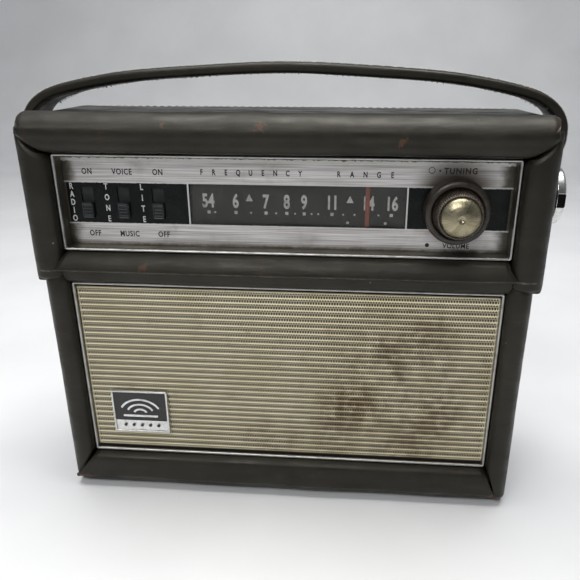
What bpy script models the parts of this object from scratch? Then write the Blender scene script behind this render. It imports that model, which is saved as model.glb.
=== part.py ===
"""Leather-cased portable transistor radio, as an assembly of separate pieces.

Every number below is in millimetres and is turned into metres where a mesh is made.
The origin is on the bottom face, halfway between the sides and 33 mm behind the front trims.
+X is to the right seen from the front, +Y to the back, +Z up.
"""
import math

import bmesh
import bpy
from mathutils import Matrix, Vector

MM = 0.001
GAP = 0.3

# Case
HOOD_HALF_WIDTH = 124.2
LOWER_HALF_WIDTH = 121.5
CASE_TOP = 203.0
HOOD_BOTTOM = 126.0
LEATHER = 2.2
WALL = 3.5
RAIL_FRONT = -39.0
RAIL_BACK = -28.0
WRAP_BACK = 34.5
FRAME_HALF = 117.6
FRAME_LOW = 2.6
FRAME_HIGH = 200.3
FRAME_FRONT = -25.5
RAIL_LOW = 0.6
LOWER_RAIL_FRONT = -38.4
RAIL_EDGE = 4.0
TRIM_FRONT = -33.3
TRIM_BACK = -31.5
TRIM_WIDTH = 1.4

# Front openings: half width, bottom and top of each trim
DIAL_HALF = 108.0
DIAL_LOW = 138.6
DIAL_HIGH = 185.4
GRILLE_HALF = 107.1
GRILLE_LOW = 22.1
GRILLE_HIGH = 122.0
GRILLE_BACK = -30.9
GRILLE_VALLEY = -31.2
GRILLE_CREST = -31.7
RIBS = 30
BADGE_FRONT = -33.2
BADGE_BACK = -32.0
BADGE = (-94.4, -63.8, 34.9, 60.4)
BAFFLE_FRONT = -30.5
BAFFLE_BACK = -28.3

# Dial panel
PANEL_FRONT = -26.8
PANEL_THICK = 0.8
PANEL_HALF = 107.4
PANEL_MARGIN = 1.2
BAND_LOW = 151.3
BAND_HIGH = 171.1
WINDOW_LEFT = -45.4
WINDOW_RIGHT = 58.2
SCALE_LEFT = -38.0
SCALE_RIGHT = 52.0
SCALE_FRONT = -24.4
SCALE_BACK = -23.6
CHASSIS_FRONT = -23.0
CHASSIS_BACK = -22.0
POINTER_X = 40.0

# Slide switches: name, centre of the slot across
SWITCHES = (("power", -95.5), ("tone", -77.7), ("light", -60.5))
SLOT_WIDTH = 6.0
SLOT_LOW = 153.8
SLOT_HIGH = 169.0
BUTTON_WIDTH = 5.2
BUTTON_HIGH = 7.6

# Knobs and tuning drive
KNOB_X = 80.9
KNOB_Z = 161.2
RING_RADIUS = 15.2
KNOB_RADIUS = 10.6
KNOB_TEETH = 44
KNOB_FRONT = -43.4
KNOB_BACK = -35.3
FLANGE_RADIUS = 4.4
SHAFT_RADIUS = 2.0
SPOOL_RADIUS = 3.2
CORD_Y = -10.0
CORD_Z = 175.4
CORD_RADIUS = 0.4
DRUM_X = -2.0
DRUM_Z = 142.0
DRUM_RADIUS = (SCALE_RIGHT - SCALE_LEFT) / math.pi
IDLER_RADIUS = 5.0
IDLERS = (("idler_left", -48.0), ("idler_right", 66.0))

# Speaker
SPEAKER_X = 45.0
SPEAKER_Z = 70.0
SPEAKER_RADIUS = 46.0

# Batteries
CELL_RADIUS = 16.4
CELL_LENGTH = 60.5
CELL_COLUMNS = (-81.0, -18.5)
CELL_ROWS = (24.4, 57.5)
CELL_Y = 16.8

# Handle
PIVOT_Z = 163.4
STRAP_THICK = 5.5
STRAP_HALF_WIDTH = 11.0
STRAP_MIDDLE = ((127.4, PIVOT_Z), (127.6, 181.0), (130.0, 191.5), (128.6, 200.8), (121.5, 208.3),
                (108.0, 213.4), (80.0, 218.4), (45.0, 221.2), (0.0, 223.1))
BOSS_RADIUS = 14.2
BOSS_INNER = 131.0
BOSS_OUTER = 135.4
BOSS_POST = 4.0
COIN_SLOT_DEPTH = 3.6
COIN_SLOT_HALF = 3.2

# Back cover
COVER_FRONT = 35.0
COVER_BACK = 38.6
COVER_LOW = 4.4
COVER_HIGH = 200.6
HINGE_Y = 36.5
HINGE_Z = 2.2

PARTS = "portable_radio"
CUTTERS = "cutters"
TO_FRONT = (math.pi / 2, 0, 0)
TO_SIDE = (0, math.pi / 2, 0)

# Looks: colour, roughness, metallic
LOOKS = {
    "leather": ((0.032, 0.026, 0.018), 0.5, 0.0),
    "board": ((0.23, 0.16, 0.09), 0.85, 0.0),
    "chrome": ((0.72, 0.72, 0.70), 0.18, 1.0),
    "silver": ((0.62, 0.61, 0.58), 0.35, 1.0),
    "gold": ((0.55, 0.49, 0.33), 0.42, 1.0),
    "black": ((0.012, 0.013, 0.014), 0.35, 0.0),
    "dark_grey": ((0.04, 0.045, 0.05), 0.4, 0.0),
    "clear": ((0.3, 0.3, 0.3), 0.1, 0.0),
    "red": ((0.55, 0.09, 0.04), 0.5, 0.0),
    "brown": ((0.05, 0.035, 0.024), 0.4, 0.0),
    "steel": ((0.55, 0.55, 0.53), 0.35, 1.0),
    "brass": ((0.62, 0.47, 0.2), 0.35, 1.0),
    "ferrite": ((0.06, 0.055, 0.055), 0.6, 0.0),
    "copper": ((0.6, 0.28, 0.12), 0.4, 0.6),
    "paper": ((0.05, 0.045, 0.04), 0.9, 0.0),
    "green": ((0.25, 0.2, 0.07), 0.55, 0.0),
    "cell": ((0.1, 0.16, 0.3), 0.4, 0.2),
    "cord": ((0.2, 0.18, 0.12), 0.9, 0.0),
    "glass": ((0.8, 0.8, 0.75), 0.1, 0.0),
}


def clear_scene():
    for obj in list(bpy.data.objects):
        bpy.data.objects.remove(obj, do_unlink=True)


def collection(name):
    made = bpy.data.collections.new(name)
    bpy.context.scene.collection.children.link(made)
    return made


def material(name, color, roughness, metallic=0.0):
    mat = bpy.data.materials.new(name)
    mat.use_nodes = True
    shader = mat.node_tree.nodes["Principled BSDF"]
    shader.inputs["Base Color"].default_value = (*color, 1.0)
    shader.inputs["Roughness"].default_value = roughness
    shader.inputs["Metallic"].default_value = metallic
    return mat


def make_object(name, mesh, origin, look, group=PARTS, smooth=False):
    """Link a mesh whose points are in millimetres in world axes, relative to origin."""
    mesh.transform(Matrix.Scale(MM, 4))
    if smooth:
        mesh.shade_smooth()
        mesh.set_sharp_from_angle(angle=math.radians(35))
    obj = bpy.data.objects.new(name, mesh)
    obj.location = Vector(origin) * MM
    bpy.data.collections[group].objects.link(obj)
    if group == CUTTERS:
        obj.hide_render = True
        obj.display_type = "WIRE"
    else:
        color, roughness, metallic = LOOKS[look]
        mesh.materials.append(material(name, color, roughness, metallic))
    return obj


def block(name, low, high, look="steel", bevel=0.0, segments=2, origin=None, group=PARTS):
    low = Vector(low)
    high = Vector(high)
    if origin is None:
        origin = (low + high) / 2
    bm = bmesh.new()
    bmesh.ops.create_cube(bm, size=1.0)
    bmesh.ops.scale(bm, vec=high - low, verts=bm.verts)
    bmesh.ops.translate(bm, vec=(low + high) / 2 - Vector(origin), verts=bm.verts)
    mesh = bpy.data.meshes.new(name)
    bm.to_mesh(mesh)
    bm.free()
    obj = make_object(name, mesh, origin, look, group)
    if bevel:
        mod = obj.modifiers.new("edges", "BEVEL")
        mod.width = bevel * MM
        mod.segments = segments
        mod.limit_method = "ANGLE"
    return obj


def rod(name, start, end, radius, look="steel", sides=32, origin=None, group=PARTS):
    start = Vector(start)
    end = Vector(end)
    if origin is None:
        origin = (start + end) / 2
    along = end - start
    bm = bmesh.new()
    bmesh.ops.create_cone(bm, cap_ends=True, segments=sides, radius1=radius, radius2=radius,
                          depth=along.length)
    turn = Vector((0, 0, 1)).rotation_difference(along).to_matrix()
    bmesh.ops.rotate(bm, matrix=turn, verts=bm.verts)
    bmesh.ops.translate(bm, vec=(start + end) / 2 - Vector(origin), verts=bm.verts)
    mesh = bpy.data.meshes.new(name)
    bm.to_mesh(mesh)
    bm.free()
    return make_object(name, mesh, origin, look, group, smooth=True)


def extruded(name, outlines, axis, low, high, look="steel", origin=None, group=PARTS):
    """A flat outline with holes, in the plane across axis ("X": y, z; "Y": x, z), extruded along it."""
    curve = bpy.data.curves.new(name, "CURVE")
    curve.dimensions = "2D"
    curve.fill_mode = "BOTH"
    curve.extrude = (high - low) / 2
    for outline in outlines:
        spline = curve.splines.new("POLY")
        spline.points.add(len(outline) - 1)
        for point, (a, b) in zip(spline.points, outline):
            point.co = (a, b, 0, 1)
        spline.use_cyclic_u = True
    flat = bpy.data.objects.new(name + "_outline", curve)
    bpy.context.scene.collection.objects.link(flat)
    evaluated = flat.evaluated_get(bpy.context.evaluated_depsgraph_get())
    mesh = bpy.data.meshes.new_from_object(evaluated)
    bpy.data.objects.remove(flat)
    mesh.materials.clear()
    middle = (low + high) / 2
    if axis == "X":
        turn = Matrix(((0, 0, 1), (1, 0, 0), (0, 1, 0))).to_4x4()
        centre = Vector((middle, 0, 0))
    else:
        turn = Matrix(((1, 0, 0), (0, 0, -1), (0, 1, 0))).to_4x4()
        centre = Vector((0, middle, 0))
    if origin is None:
        origin = centre
    mesh.transform(Matrix.Translation(centre - Vector(origin)) @ turn)
    bm = bmesh.new()
    bm.from_mesh(mesh)
    bmesh.ops.remove_doubles(bm, verts=bm.verts, dist=0.001)
    bm.to_mesh(mesh)
    bm.free()
    return make_object(name, mesh, origin, look, group)


def turned(name, profile, origin, look="steel", rotation=TO_FRONT, steps=40, ring=False):
    """A turned piece. Its profile is (radius, height) pairs, down the outer side; a ring's is closed."""
    bm = bmesh.new()
    verts = [bm.verts.new((radius, 0, height)) for radius, height in profile]
    for first, second in zip(verts, verts[1:]):
        bm.edges.new((first, second))
    if ring:
        bm.edges.new((verts[-1], verts[0]))
    mesh = bpy.data.meshes.new(name)
    bm.to_mesh(mesh)
    bm.free()
    obj = make_object(name, mesh, origin, look)
    obj.rotation_euler = rotation
    mod = obj.modifiers.new("turn", "SCREW")
    mod.steps = steps
    mod.render_steps = steps
    mod.use_merge_vertices = True
    mod.merge_threshold = 0.00001
    mod.use_smooth_shade = True
    return obj


def combine(obj, other, operation):
    mod = obj.modifiers.new(operation.lower(), "BOOLEAN")
    mod.operation = operation
    mod.object = other
    mod.solver = "EXACT"


def arc(centre, radius, start, end, count):
    """Points on a round stretch; the angles are in degrees."""
    points = []
    for step in range(count + 1):
        angle = math.radians(start + (end - start) * step / count)
        points.append((centre[0] + radius * math.cos(angle), centre[1] + radius * math.sin(angle)))
    return points


def circle(centre, radius, sides=32):
    return arc(centre, radius, 0, 360, sides)[:-1]


def rounded(left, right, low, high, radius, count=5):
    """A rectangle with round corners, anticlockwise."""
    points = arc((right - radius, low + radius), radius, -90, 0, count)
    points += arc((right - radius, high - radius), radius, 0, 90, count)
    points += arc((left + radius, high - radius), radius, 90, 180, count)
    points += arc((left + radius, low + radius), radius, 180, 270, count)
    return points


def channel(half, thick, closed_end, open_end, radius):
    """A U-shaped section: two sides and one closed end, with round outer corners."""
    side = 1 if closed_end > open_end else -1
    outer = [(half, open_end)]
    outer += arc((half - radius, closed_end - side * radius), radius, 0, side * 90, 6)
    outer += arc((radius - half, closed_end - side * radius), radius, side * 90, side * 180, 6)
    outer += [(-half, open_end)]
    inside = half - thick
    inner_radius = radius - thick
    inner = [(-inside, open_end)]
    inner += arc((radius - half, closed_end - side * radius), inner_radius, side * 180, side * 90, 6)
    inner += arc((half - radius, closed_end - side * radius), inner_radius, side * 90, 0, 6)
    inner += [(inside, open_end)]
    return outer + inner


def leather_case():
    """The stiff frame, and the leather that wraps it: a lower tub and a hood over its top."""
    outer = rounded(-FRAME_HALF, FRAME_HALF, FRAME_LOW, FRAME_HIGH, 7.0)
    half = FRAME_HALF - WALL
    inner = rounded(-half, half, FRAME_LOW + WALL, FRAME_HIGH - WALL, 1.0, 2)
    extruded("case_frame", [outer, inner], "Y", FRAME_FRONT, WRAP_BACK, "board")
    tub = channel(LOWER_HALF_WIDTH, LEATHER, 0.0, HOOD_BOTTOM + 4.0, 8.0)
    extruded("case_wrap", [tub], "Y", RAIL_BACK + GAP, WRAP_BACK, "leather")
    hood = channel(HOOD_HALF_WIDTH, LEATHER, CASE_TOP, HOOD_BOTTOM, 9.0)
    extruded("hood_wrap", [hood], "Y", RAIL_BACK + GAP, WRAP_BACK, "leather")


def rails():
    """Padded leather rolls round the front: three on the lower case, four on the hood."""
    for name, side in (("left", -1), ("right", 1)):
        near, far = sorted((side * (GRILLE_HALF + GAP), side * LOWER_HALF_WIDTH))
        block("case_rail_" + name, (near, LOWER_RAIL_FRONT, RAIL_LOW), (far, RAIL_BACK, HOOD_BOTTOM - GAP),
              "leather", RAIL_EDGE, 3)
        near, far = sorted((side * (DIAL_HALF + GAP), side * HOOD_HALF_WIDTH))
        block("hood_rail_" + name, (near, RAIL_FRONT, HOOD_BOTTOM), (far, RAIL_BACK, DIAL_HIGH),
              "leather", RAIL_EDGE, 3)
    block("case_rail_bottom", (-GRILLE_HALF, LOWER_RAIL_FRONT, RAIL_LOW),
          (GRILLE_HALF, RAIL_BACK, GRILLE_LOW - GAP), "leather", RAIL_EDGE, 3)
    block("hood_rail_top", (-HOOD_HALF_WIDTH, RAIL_FRONT, DIAL_HIGH + GAP),
          (HOOD_HALF_WIDTH, RAIL_BACK, CASE_TOP + RAIL_LOW), "leather", RAIL_EDGE, 3)
    block("hood_rail_lower", (-GRILLE_HALF, RAIL_FRONT, GRILLE_HIGH + GAP),
          (GRILLE_HALF, RAIL_BACK, DIAL_LOW - GAP), "leather", RAIL_EDGE, 3)


def trims_and_grille():
    for name, half, low, high in (("dial_trim", DIAL_HALF, DIAL_LOW, DIAL_HIGH),
                                  ("grille_trim", GRILLE_HALF, GRILLE_LOW, GRILLE_HIGH)):
        outer = rounded(-half, half, low, high, 1.2, 3)
        inner = rounded(TRIM_WIDTH - half, half - TRIM_WIDTH, low + TRIM_WIDTH, high - TRIM_WIDTH, 0.5, 2)
        extruded(name, [outer, inner], "Y", TRIM_FRONT, TRIM_BACK, "chrome")
    half = GRILLE_HALF - TRIM_WIDTH - GAP
    low = GRILLE_LOW + TRIM_WIDTH + GAP
    high = GRILLE_HIGH - TRIM_WIDTH - GAP
    pitch = (high - low) / RIBS
    section = [(GRILLE_BACK, high), (GRILLE_BACK, low)]
    for rib in range(RIBS):
        section.append((GRILLE_VALLEY, low + rib * pitch))
        section.append((GRILLE_CREST, low + (rib + 0.5) * pitch))
    section.append((GRILLE_VALLEY, high))
    extruded("grille", [section], "X", -half, half, "gold")
    extruded("badge_plate", [rounded(*BADGE, 1.5, 3)], "Y", BADGE_FRONT, BADGE_BACK, "chrome")
    sheet = rounded(-106.5, 106.5, 23.0, 121.4, 1.0, 2)
    hole = circle((SPEAKER_X, SPEAKER_Z), SPEAKER_RADIUS - 5.0, 40)
    extruded("baffle_board", [sheet, hole], "Y", BAFFLE_FRONT, BAFFLE_BACK, "board")


def speaker():
    """A round speaker on the baffle: basket, magnet, and the cone that moves along Y."""
    centre = (SPEAKER_X, 0, SPEAKER_Z)
    basket = ((40.6, 27.9), (SPEAKER_RADIUS, 27.9), (SPEAKER_RADIUS, 26.7), (42.0, 26.7),
              (18.0, 9.2), (8.0, 9.2), (8.0, 10.4), (17.0, 10.4))
    turned("speaker_basket", basket, centre, "steel", steps=32, ring=True)
    magnet = ((0, 8.8), (17.0, 8.8), (17.0, -6.2), (16.2, -7.0), (0, -7.0))
    turned("speaker_magnet", magnet, centre, "steel", steps=24)
    cone = ((0, 17.0), (5.0, 16.4), (9.0, 14.6), (36.5, 27.4), (36.5, 26.6), (9.0, 13.6), (0, 13.6))
    turned("speaker_cone", cone, centre, "paper", steps=28)


def dial():
    """The recessed panel with its window and slots, and the scale, lens and pointer behind it."""
    back = PANEL_FRONT + PANEL_THICK
    sheet = rounded(-PANEL_HALF, PANEL_HALF, DIAL_LOW + PANEL_MARGIN, DIAL_HIGH - PANEL_MARGIN, 0.6, 2)
    window = rounded(WINDOW_LEFT, WINDOW_RIGHT, BAND_LOW, BAND_HIGH, 0.4, 2)
    holes = [window, circle((KNOB_X, KNOB_Z), FLANGE_RADIUS, 24)]
    for _, middle in SWITCHES:
        holes.append(rounded(middle - SLOT_WIDTH / 2, middle + SLOT_WIDTH / 2, SLOT_LOW, SLOT_HIGH, 0.4, 2))
    extruded("dial_panel", [sheet] + holes, "Y", PANEL_FRONT, back, "silver")
    lens = rounded(WINDOW_LEFT + GAP, WINDOW_RIGHT - GAP, BAND_LOW + GAP, BAND_HIGH - GAP, 0.4, 2)
    extruded("dial_lens", [lens], "Y", PANEL_FRONT, back, "clear")
    block("dial_scale", (WINDOW_LEFT - 2, SCALE_FRONT, BAND_LOW - 1.5),
          (WINDOW_RIGHT + 2, SCALE_BACK, BAND_HIGH + 1.5), "dark_grey")
    plate = rounded(-54, 104, 128.0, 172.8, 2.0, 3)
    hole = circle((KNOB_X, KNOB_Z), 5.6, 24)
    chassis = extruded("dial_chassis", [plate, hole], "Y", CHASSIS_FRONT, CHASSIS_BACK, "steel")
    height = CORD_Z - IDLER_RADIUS
    for name, across in IDLERS:
        post = rod(name + "_post", (across, CHASSIS_BACK - 0.6, height), (across, -7.0, height), 1.5,
                   sides=16, group=CUTTERS)
        combine(chassis, post, "UNION")
    bar = [(-25.5, BAND_LOW + 0.4), (-24.9, BAND_LOW + 0.4), (-24.9, 173.6), (CORD_Y + 0.8, 173.6),
           (CORD_Y + 0.8, 174.6), (-25.5, 174.6)]
    extruded("dial_pointer", [bar], "X", POINTER_X - 0.9, POINTER_X + 0.9, "red")


def switches():
    for name, middle in SWITCHES:
        body = block(name + "_switch", (middle - 5.0, -25.6, 150.0), (middle + 5.0, -17.0, 173.0), "steel")
        half = SLOT_WIDTH / 2
        cut = block(name + "_switch_slot", (middle - half, -27.0, SLOT_LOW - 0.4),
                    (middle + half, -21.0, SLOT_HIGH + 0.4), group=CUTTERS)
        combine(body, cut, "DIFFERENCE")
        half = BUTTON_WIDTH / 2
        low = SLOT_LOW + GAP
        block(name + "_slider", (middle - half, -28.9, low), (middle + half, -21.6, low + BUTTON_HIGH),
              "dark_grey", 0.5, 2)


def knobs():
    """The tuning knob on its shaft, inside the volume ring on its sleeve, on one axis."""
    axis = (KNOB_X, 0, KNOB_Z)
    rim = []
    for tooth in range(KNOB_TEETH * 2):
        radius = KNOB_RADIUS - 0.5 * (tooth % 2)
        angle = math.pi * tooth / KNOB_TEETH
        rim.append((KNOB_X + radius * math.cos(angle), KNOB_Z + radius * math.sin(angle)))
    knob = extruded("tuning_knob", [rim], "Y", KNOB_FRONT, KNOB_BACK, "brown", origin=axis)
    socket = rod("tuning_knob_socket", (KNOB_X, -40.8, KNOB_Z), (KNOB_X, -30.0, KNOB_Z), SHAFT_RADIUS + GAP,
                 sides=24, group=CUTTERS)
    combine(knob, socket, "DIFFERENCE")
    cap = ((0, 48.0), (0.8, 47.6), (1.6, 47.9), (4.3, 47.5), (6.9, 46.6), (8.4, 45.4), (9.1, 43.7),
           (0, 43.7))
    turned("tuning_knob_cap", cap, axis, "gold", steps=28)
    shaft = ((0, 40.4), (SHAFT_RADIUS, 40.4), (SHAFT_RADIUS, 12.6), (FLANGE_RADIUS, 12.4),
             (FLANGE_RADIUS, 11.4), (SPOOL_RADIUS, 10.8), (SPOOL_RADIUS, 9.2),
             (FLANGE_RADIUS, 8.6), (FLANGE_RADIUS, 7.6),
             (SHAFT_RADIUS, 7.4), (SHAFT_RADIUS, 3.0), (0, 3.0))
    turned("tuning_shaft", shaft, axis, "brass", steps=16)
    ring = ((3.8, 34.6), (11.4, 34.6), (11.6, 36.0), (12.4, 36.4), (13.9, 36.1), (14.8, 35.2),
            (RING_RADIUS, 29.0), (RING_RADIUS, 27.4), (3.8, 27.4))
    turned("volume_ring", ring, axis, "brown", steps=36, ring=True)
    sleeve = ((2.4, 34.0), (3.4, 34.0), (3.4, 15.0), (2.4, 15.0))
    turned("volume_sleeve", sleeve, axis, "brass", steps=24, ring=True)
    pot = ((4.0, 25.4), (5.2, 25.4), (5.2, 21.6), (11.0, 21.6), (11.0, 14.0), (4.0, 14.0))
    turned("volume_control", pot, axis, "steel", steps=28, ring=True)


def tuning_drive():
    """The variable capacitor with its drum, the two idlers and the cord round them."""
    axis = (DRUM_X, 0, DRUM_Z)
    half = 18.0
    frame = block("tuner_frame", (DRUM_X - half, -6.5, DRUM_Z - half), (DRUM_X + half, 20.0, DRUM_Z + half))
    inside = half - 1.2
    hollow = block("tuner_hollow", (DRUM_X - inside, -5.3, DRUM_Z - inside),
                   (DRUM_X + inside, 18.8, DRUM_Z + half + 4), group=CUTTERS)
    combine(frame, hollow, "DIFFERENCE")
    hole = rod("tuner_hole", (DRUM_X, -9.0, DRUM_Z), (DRUM_X, -3.0, DRUM_Z), 3.4, sides=24, group=CUTTERS)
    combine(frame, hole, "DIFFERENCE")
    vanes = arc((DRUM_X, DRUM_Z), 14.5, 0, 180, 18)
    rotor = extruded("tuner_rotor", [vanes], "Y", -2.0, 16.0, "steel", origin=axis)
    shaft = rod("tuner_shaft", (DRUM_X, -12.4, DRUM_Z), (DRUM_X, 18.0, DRUM_Z), 3.0, sides=24, group=CUTTERS)
    combine(rotor, shaft, "UNION")
    edge = DRUM_RADIUS + 1.0
    drum = ((3.4, 11.6), (edge, 11.6), (edge, 10.9), (DRUM_RADIUS - CORD_RADIUS, 10.6),
            (DRUM_RADIUS - CORD_RADIUS, 9.4), (edge, 9.1), (edge, 8.4), (3.4, 8.4))
    turned("drive_drum", drum, axis, "brown", steps=32, ring=True)
    for name, across in IDLERS:
        wheel = ((1.9, 11.2), (IDLER_RADIUS + 0.8, 11.2), (IDLER_RADIUS - CORD_RADIUS - 0.2, 10.4),
                 (IDLER_RADIUS - CORD_RADIUS - 0.2, 9.6), (IDLER_RADIUS + 0.8, 8.8), (1.9, 8.8))
        turned(name, wheel, (across, 0, CORD_Z - IDLER_RADIUS), "brass", steps=24, ring=True)
    drive_cord()


def drive_cord():
    """One loop: along the top between the idlers, down to the spool on the right and round the drum."""
    route = []
    left = (IDLERS[0][1], CORD_Z - IDLER_RADIUS)
    right = (IDLERS[1][1], CORD_Z - IDLER_RADIUS)
    away = CORD_RADIUS + GAP
    route += arc(left, IDLER_RADIUS + away, 200, 90, 6)
    route += arc(right, IDLER_RADIUS + away, 90, 30, 4)
    route += arc((KNOB_X, KNOB_Z), FLANGE_RADIUS + away, 30, -90, 6)
    route += arc((DRUM_X, DRUM_Z), DRUM_RADIUS + 1.0 + away, -60, -200, 12)
    curve = bpy.data.curves.new("dial_cord", "CURVE")
    curve.dimensions = "3D"
    curve.bevel_depth = CORD_RADIUS * MM
    curve.bevel_resolution = 0
    curve.use_fill_caps = True
    spline = curve.splines.new("POLY")
    spline.points.add(len(route) - 1)
    for point, (across, up) in zip(spline.points, route):
        point.co = (across * MM, CORD_Y * MM, up * MM, 1)
    spline.use_cyclic_u = True
    cord = bpy.data.objects.new("dial_cord", curve)
    color, roughness, metallic = LOOKS["cord"]
    curve.materials.append(material("dial_cord", color, roughness, metallic))
    bpy.data.collections[PARTS].objects.link(cord)


def electronics():
    rod("dial_lamp", (-66.0, -19.0, 178.6), (-50.0, -19.0, 178.6), 3.4, "glass", 20)
    block("circuit_board", (20.0, 15.0, 10.0), (112.0, 16.6, 116.0), "green")
    for index in range(3):
        left = 30.0 + 22.0 * index
        block("if_can_%d" % (index + 1), (left, 16.9, 88.0), (left + 10.0, 30.0, 98.0), "steel", 0.6, 2)
    block("output_transformer", (78.0, 16.9, 20.0), (102.0, 33.0, 38.0), "steel", 0.8, 2)
    rod("filter_capacitor", (32.0, 23.2, 30.0), (32.0, 23.2, 56.0), 6.0, "cell", 24)
    rod("ferrite_rod", (-86.0, 20.0, 184.0), (94.0, 20.0, 184.0), 5.0, "ferrite", 24)
    coil = ((5.3, 22.0), (7.0, 22.0), (7.0, -22.0), (5.3, -22.0))
    turned("antenna_coil", coil, (-50.0, 20.0, 184.0), "copper", TO_SIDE, 28, ring=True)


def batteries():
    """Four cells in a tray that opens to the back."""
    tray = block("battery_tray", (-113.2, -1.6, 6.5), (14.4, 33.6, 75.4), "black")
    inside = block("battery_tray_inside", (-112.0, -0.2, 7.7), (13.2, 40.0, 74.2), group=CUTTERS)
    combine(tray, inside, "DIFFERENCE")
    number = 1
    for up in CELL_ROWS:
        for across in CELL_COLUMNS:
            half = CELL_LENGTH / 2
            can = ((0, half), (3.0, half), (3.0, half - 1.4), (CELL_RADIUS - 0.6, half - 1.4),
                   (CELL_RADIUS, half - 2.0), (CELL_RADIUS, 0.6 - half), (CELL_RADIUS - 0.6, -half),
                   (0, -half))
            turned("cell_%d" % number, can, (across, CELL_Y, up), "cell", TO_SIDE, 20)
            number += 1


def back():
    """The leather-covered back on its hinge roll along the bottom edge."""
    outline = rounded(-FRAME_HALF, FRAME_HALF, COVER_LOW, COVER_HIGH, 7.0)
    extruded("back_cover", [outline], "Y", COVER_FRONT, COVER_BACK, "leather", origin=(0, HINGE_Y, HINGE_Z))
    rod("back_hinge", (-106, HINGE_Y, HINGE_Z), (106, HINGE_Y, HINGE_Z), 1.3, "leather", 16)


def strap_points(count):
    """A smooth line through the strap's middle, from one end under its boss to the other."""
    below = (STRAP_MIDDLE[0][0], PIVOT_Z - STRAP_HALF_WIDTH + 0.3)
    half = [below] + list(STRAP_MIDDLE)
    keys = [Vector(point) for point in half] + [Vector((-across, up)) for across, up in reversed(half[:-1])]
    points = []
    for index in range(len(keys) - 1):
        before = keys[max(index - 1, 0)]
        start = keys[index]
        end = keys[index + 1]
        after = keys[min(index + 2, len(keys) - 1)]
        for step in range(count):
            t = step / count
            point = start * 2 + (end - before) * t + (before * 2 - start * 5 + end * 4 - after) * t * t
            point += (start * 3 - before - end * 3 + after) * t * t * t
            points.append(point / 2)
    points.append(keys[-1])
    return points


def handle():
    """A flat leather strap that turns on two slotted studs, one on each side."""
    middle = strap_points(3)
    bm = bmesh.new()
    rows = []
    for index, point in enumerate(middle):
        along = (middle[min(index + 1, len(middle) - 1)] - middle[max(index - 1, 0)]).normalized()
        across = Vector((-along.y, along.x)) * STRAP_THICK / 2
        width = STRAP_HALF_WIDTH
        if point.y < PIVOT_Z:
            width = math.sqrt(max(STRAP_HALF_WIDTH ** 2 - (PIVOT_Z - point.y) ** 2, 0))
        outside = point + across
        inside = point - across
        corners = ((outside, -width), (outside, width), (inside, width), (inside, -width))
        rows.append([bm.verts.new((edge.x, wide, edge.y - PIVOT_Z)) for edge, wide in corners])
    for first, second in zip(rows, rows[1:]):
        for side in range(4):
            other = (side + 1) % 4
            bm.faces.new((first[side], first[other], second[other], second[side]))
    bm.faces.new(rows[0])
    bm.faces.new(list(reversed(rows[-1])))
    bmesh.ops.recalc_face_normals(bm, faces=bm.faces)
    mesh = bpy.data.meshes.new("handle_strap")
    bm.to_mesh(mesh)
    bm.free()
    strap = make_object("handle_strap", mesh, (0, 0, PIVOT_Z), "leather")
    for name, side in (("left", -1), ("right", 1)):
        hole = rod("strap_hole_" + name, (side * 122, 0, PIVOT_Z), (side * 133, 0, PIVOT_Z), BOSS_POST + 0.4,
                   sides=24, group=CUTTERS)
        combine(strap, hole, "DIFFERENCE")
    bosses()


def bosses():
    """The slotted studs on which the strap turns."""
    foot = HOOD_HALF_WIDTH + GAP
    stud = ((0, BOSS_OUTER), (BOSS_RADIUS - 1.2, BOSS_OUTER), (BOSS_RADIUS, BOSS_OUTER - 1.2),
            (BOSS_RADIUS, BOSS_INNER), (BOSS_POST, BOSS_INNER), (BOSS_POST, foot), (0, foot))
    for name, side in (("left", -1), ("right", 1)):
        boss = turned("handle_boss_" + name, stud, (0, 0, PIVOT_Z), "chrome", (0, side * math.pi / 2, 0), 32)
        near, far = sorted((side * (BOSS_OUTER - COIN_SLOT_DEPTH), side * (BOSS_OUTER + 1.0)))
        slot = block("boss_slot_" + name, (near, -20, PIVOT_Z - COIN_SLOT_HALF),
                     (far, 20, PIVOT_Z + COIN_SLOT_HALF), group=CUTTERS)
        combine(boss, slot, "DIFFERENCE")


def build():
    clear_scene()
    collection(PARTS)
    collection(CUTTERS)
    leather_case()
    rails()
    trims_and_grille()
    speaker()
    dial()
    switches()
    knobs()
    tuning_drive()
    electronics()
    batteries()
    back()
    handle()


build()
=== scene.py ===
"""The looks of a leather-cased portable radio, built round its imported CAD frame.

Sizes are in millimetres in the row frame, and are turned into metres where a mesh is made.
"""

import math

import bmesh
import bpy
from mathutils import Matrix, Vector, noise


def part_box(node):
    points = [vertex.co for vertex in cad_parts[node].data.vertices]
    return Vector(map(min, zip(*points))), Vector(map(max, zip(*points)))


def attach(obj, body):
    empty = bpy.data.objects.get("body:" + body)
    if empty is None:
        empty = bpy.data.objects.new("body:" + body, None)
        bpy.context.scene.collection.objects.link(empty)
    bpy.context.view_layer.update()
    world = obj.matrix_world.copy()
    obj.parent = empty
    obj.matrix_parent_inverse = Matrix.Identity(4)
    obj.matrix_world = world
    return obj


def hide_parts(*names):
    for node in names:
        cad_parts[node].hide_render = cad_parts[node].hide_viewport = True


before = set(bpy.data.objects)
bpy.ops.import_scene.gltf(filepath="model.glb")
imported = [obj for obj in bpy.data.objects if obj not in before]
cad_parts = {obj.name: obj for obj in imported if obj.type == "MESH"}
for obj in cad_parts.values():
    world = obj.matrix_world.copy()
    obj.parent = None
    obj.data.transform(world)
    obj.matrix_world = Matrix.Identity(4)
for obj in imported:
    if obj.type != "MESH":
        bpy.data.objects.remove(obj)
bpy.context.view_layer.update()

MM = 0.001


def span(node):
    """A CAD node's lowest and highest corner, in millimetres."""
    low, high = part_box(node)
    return low / MM, high / MM


# ---------------------------------------------------------------- places read from the frame

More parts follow.
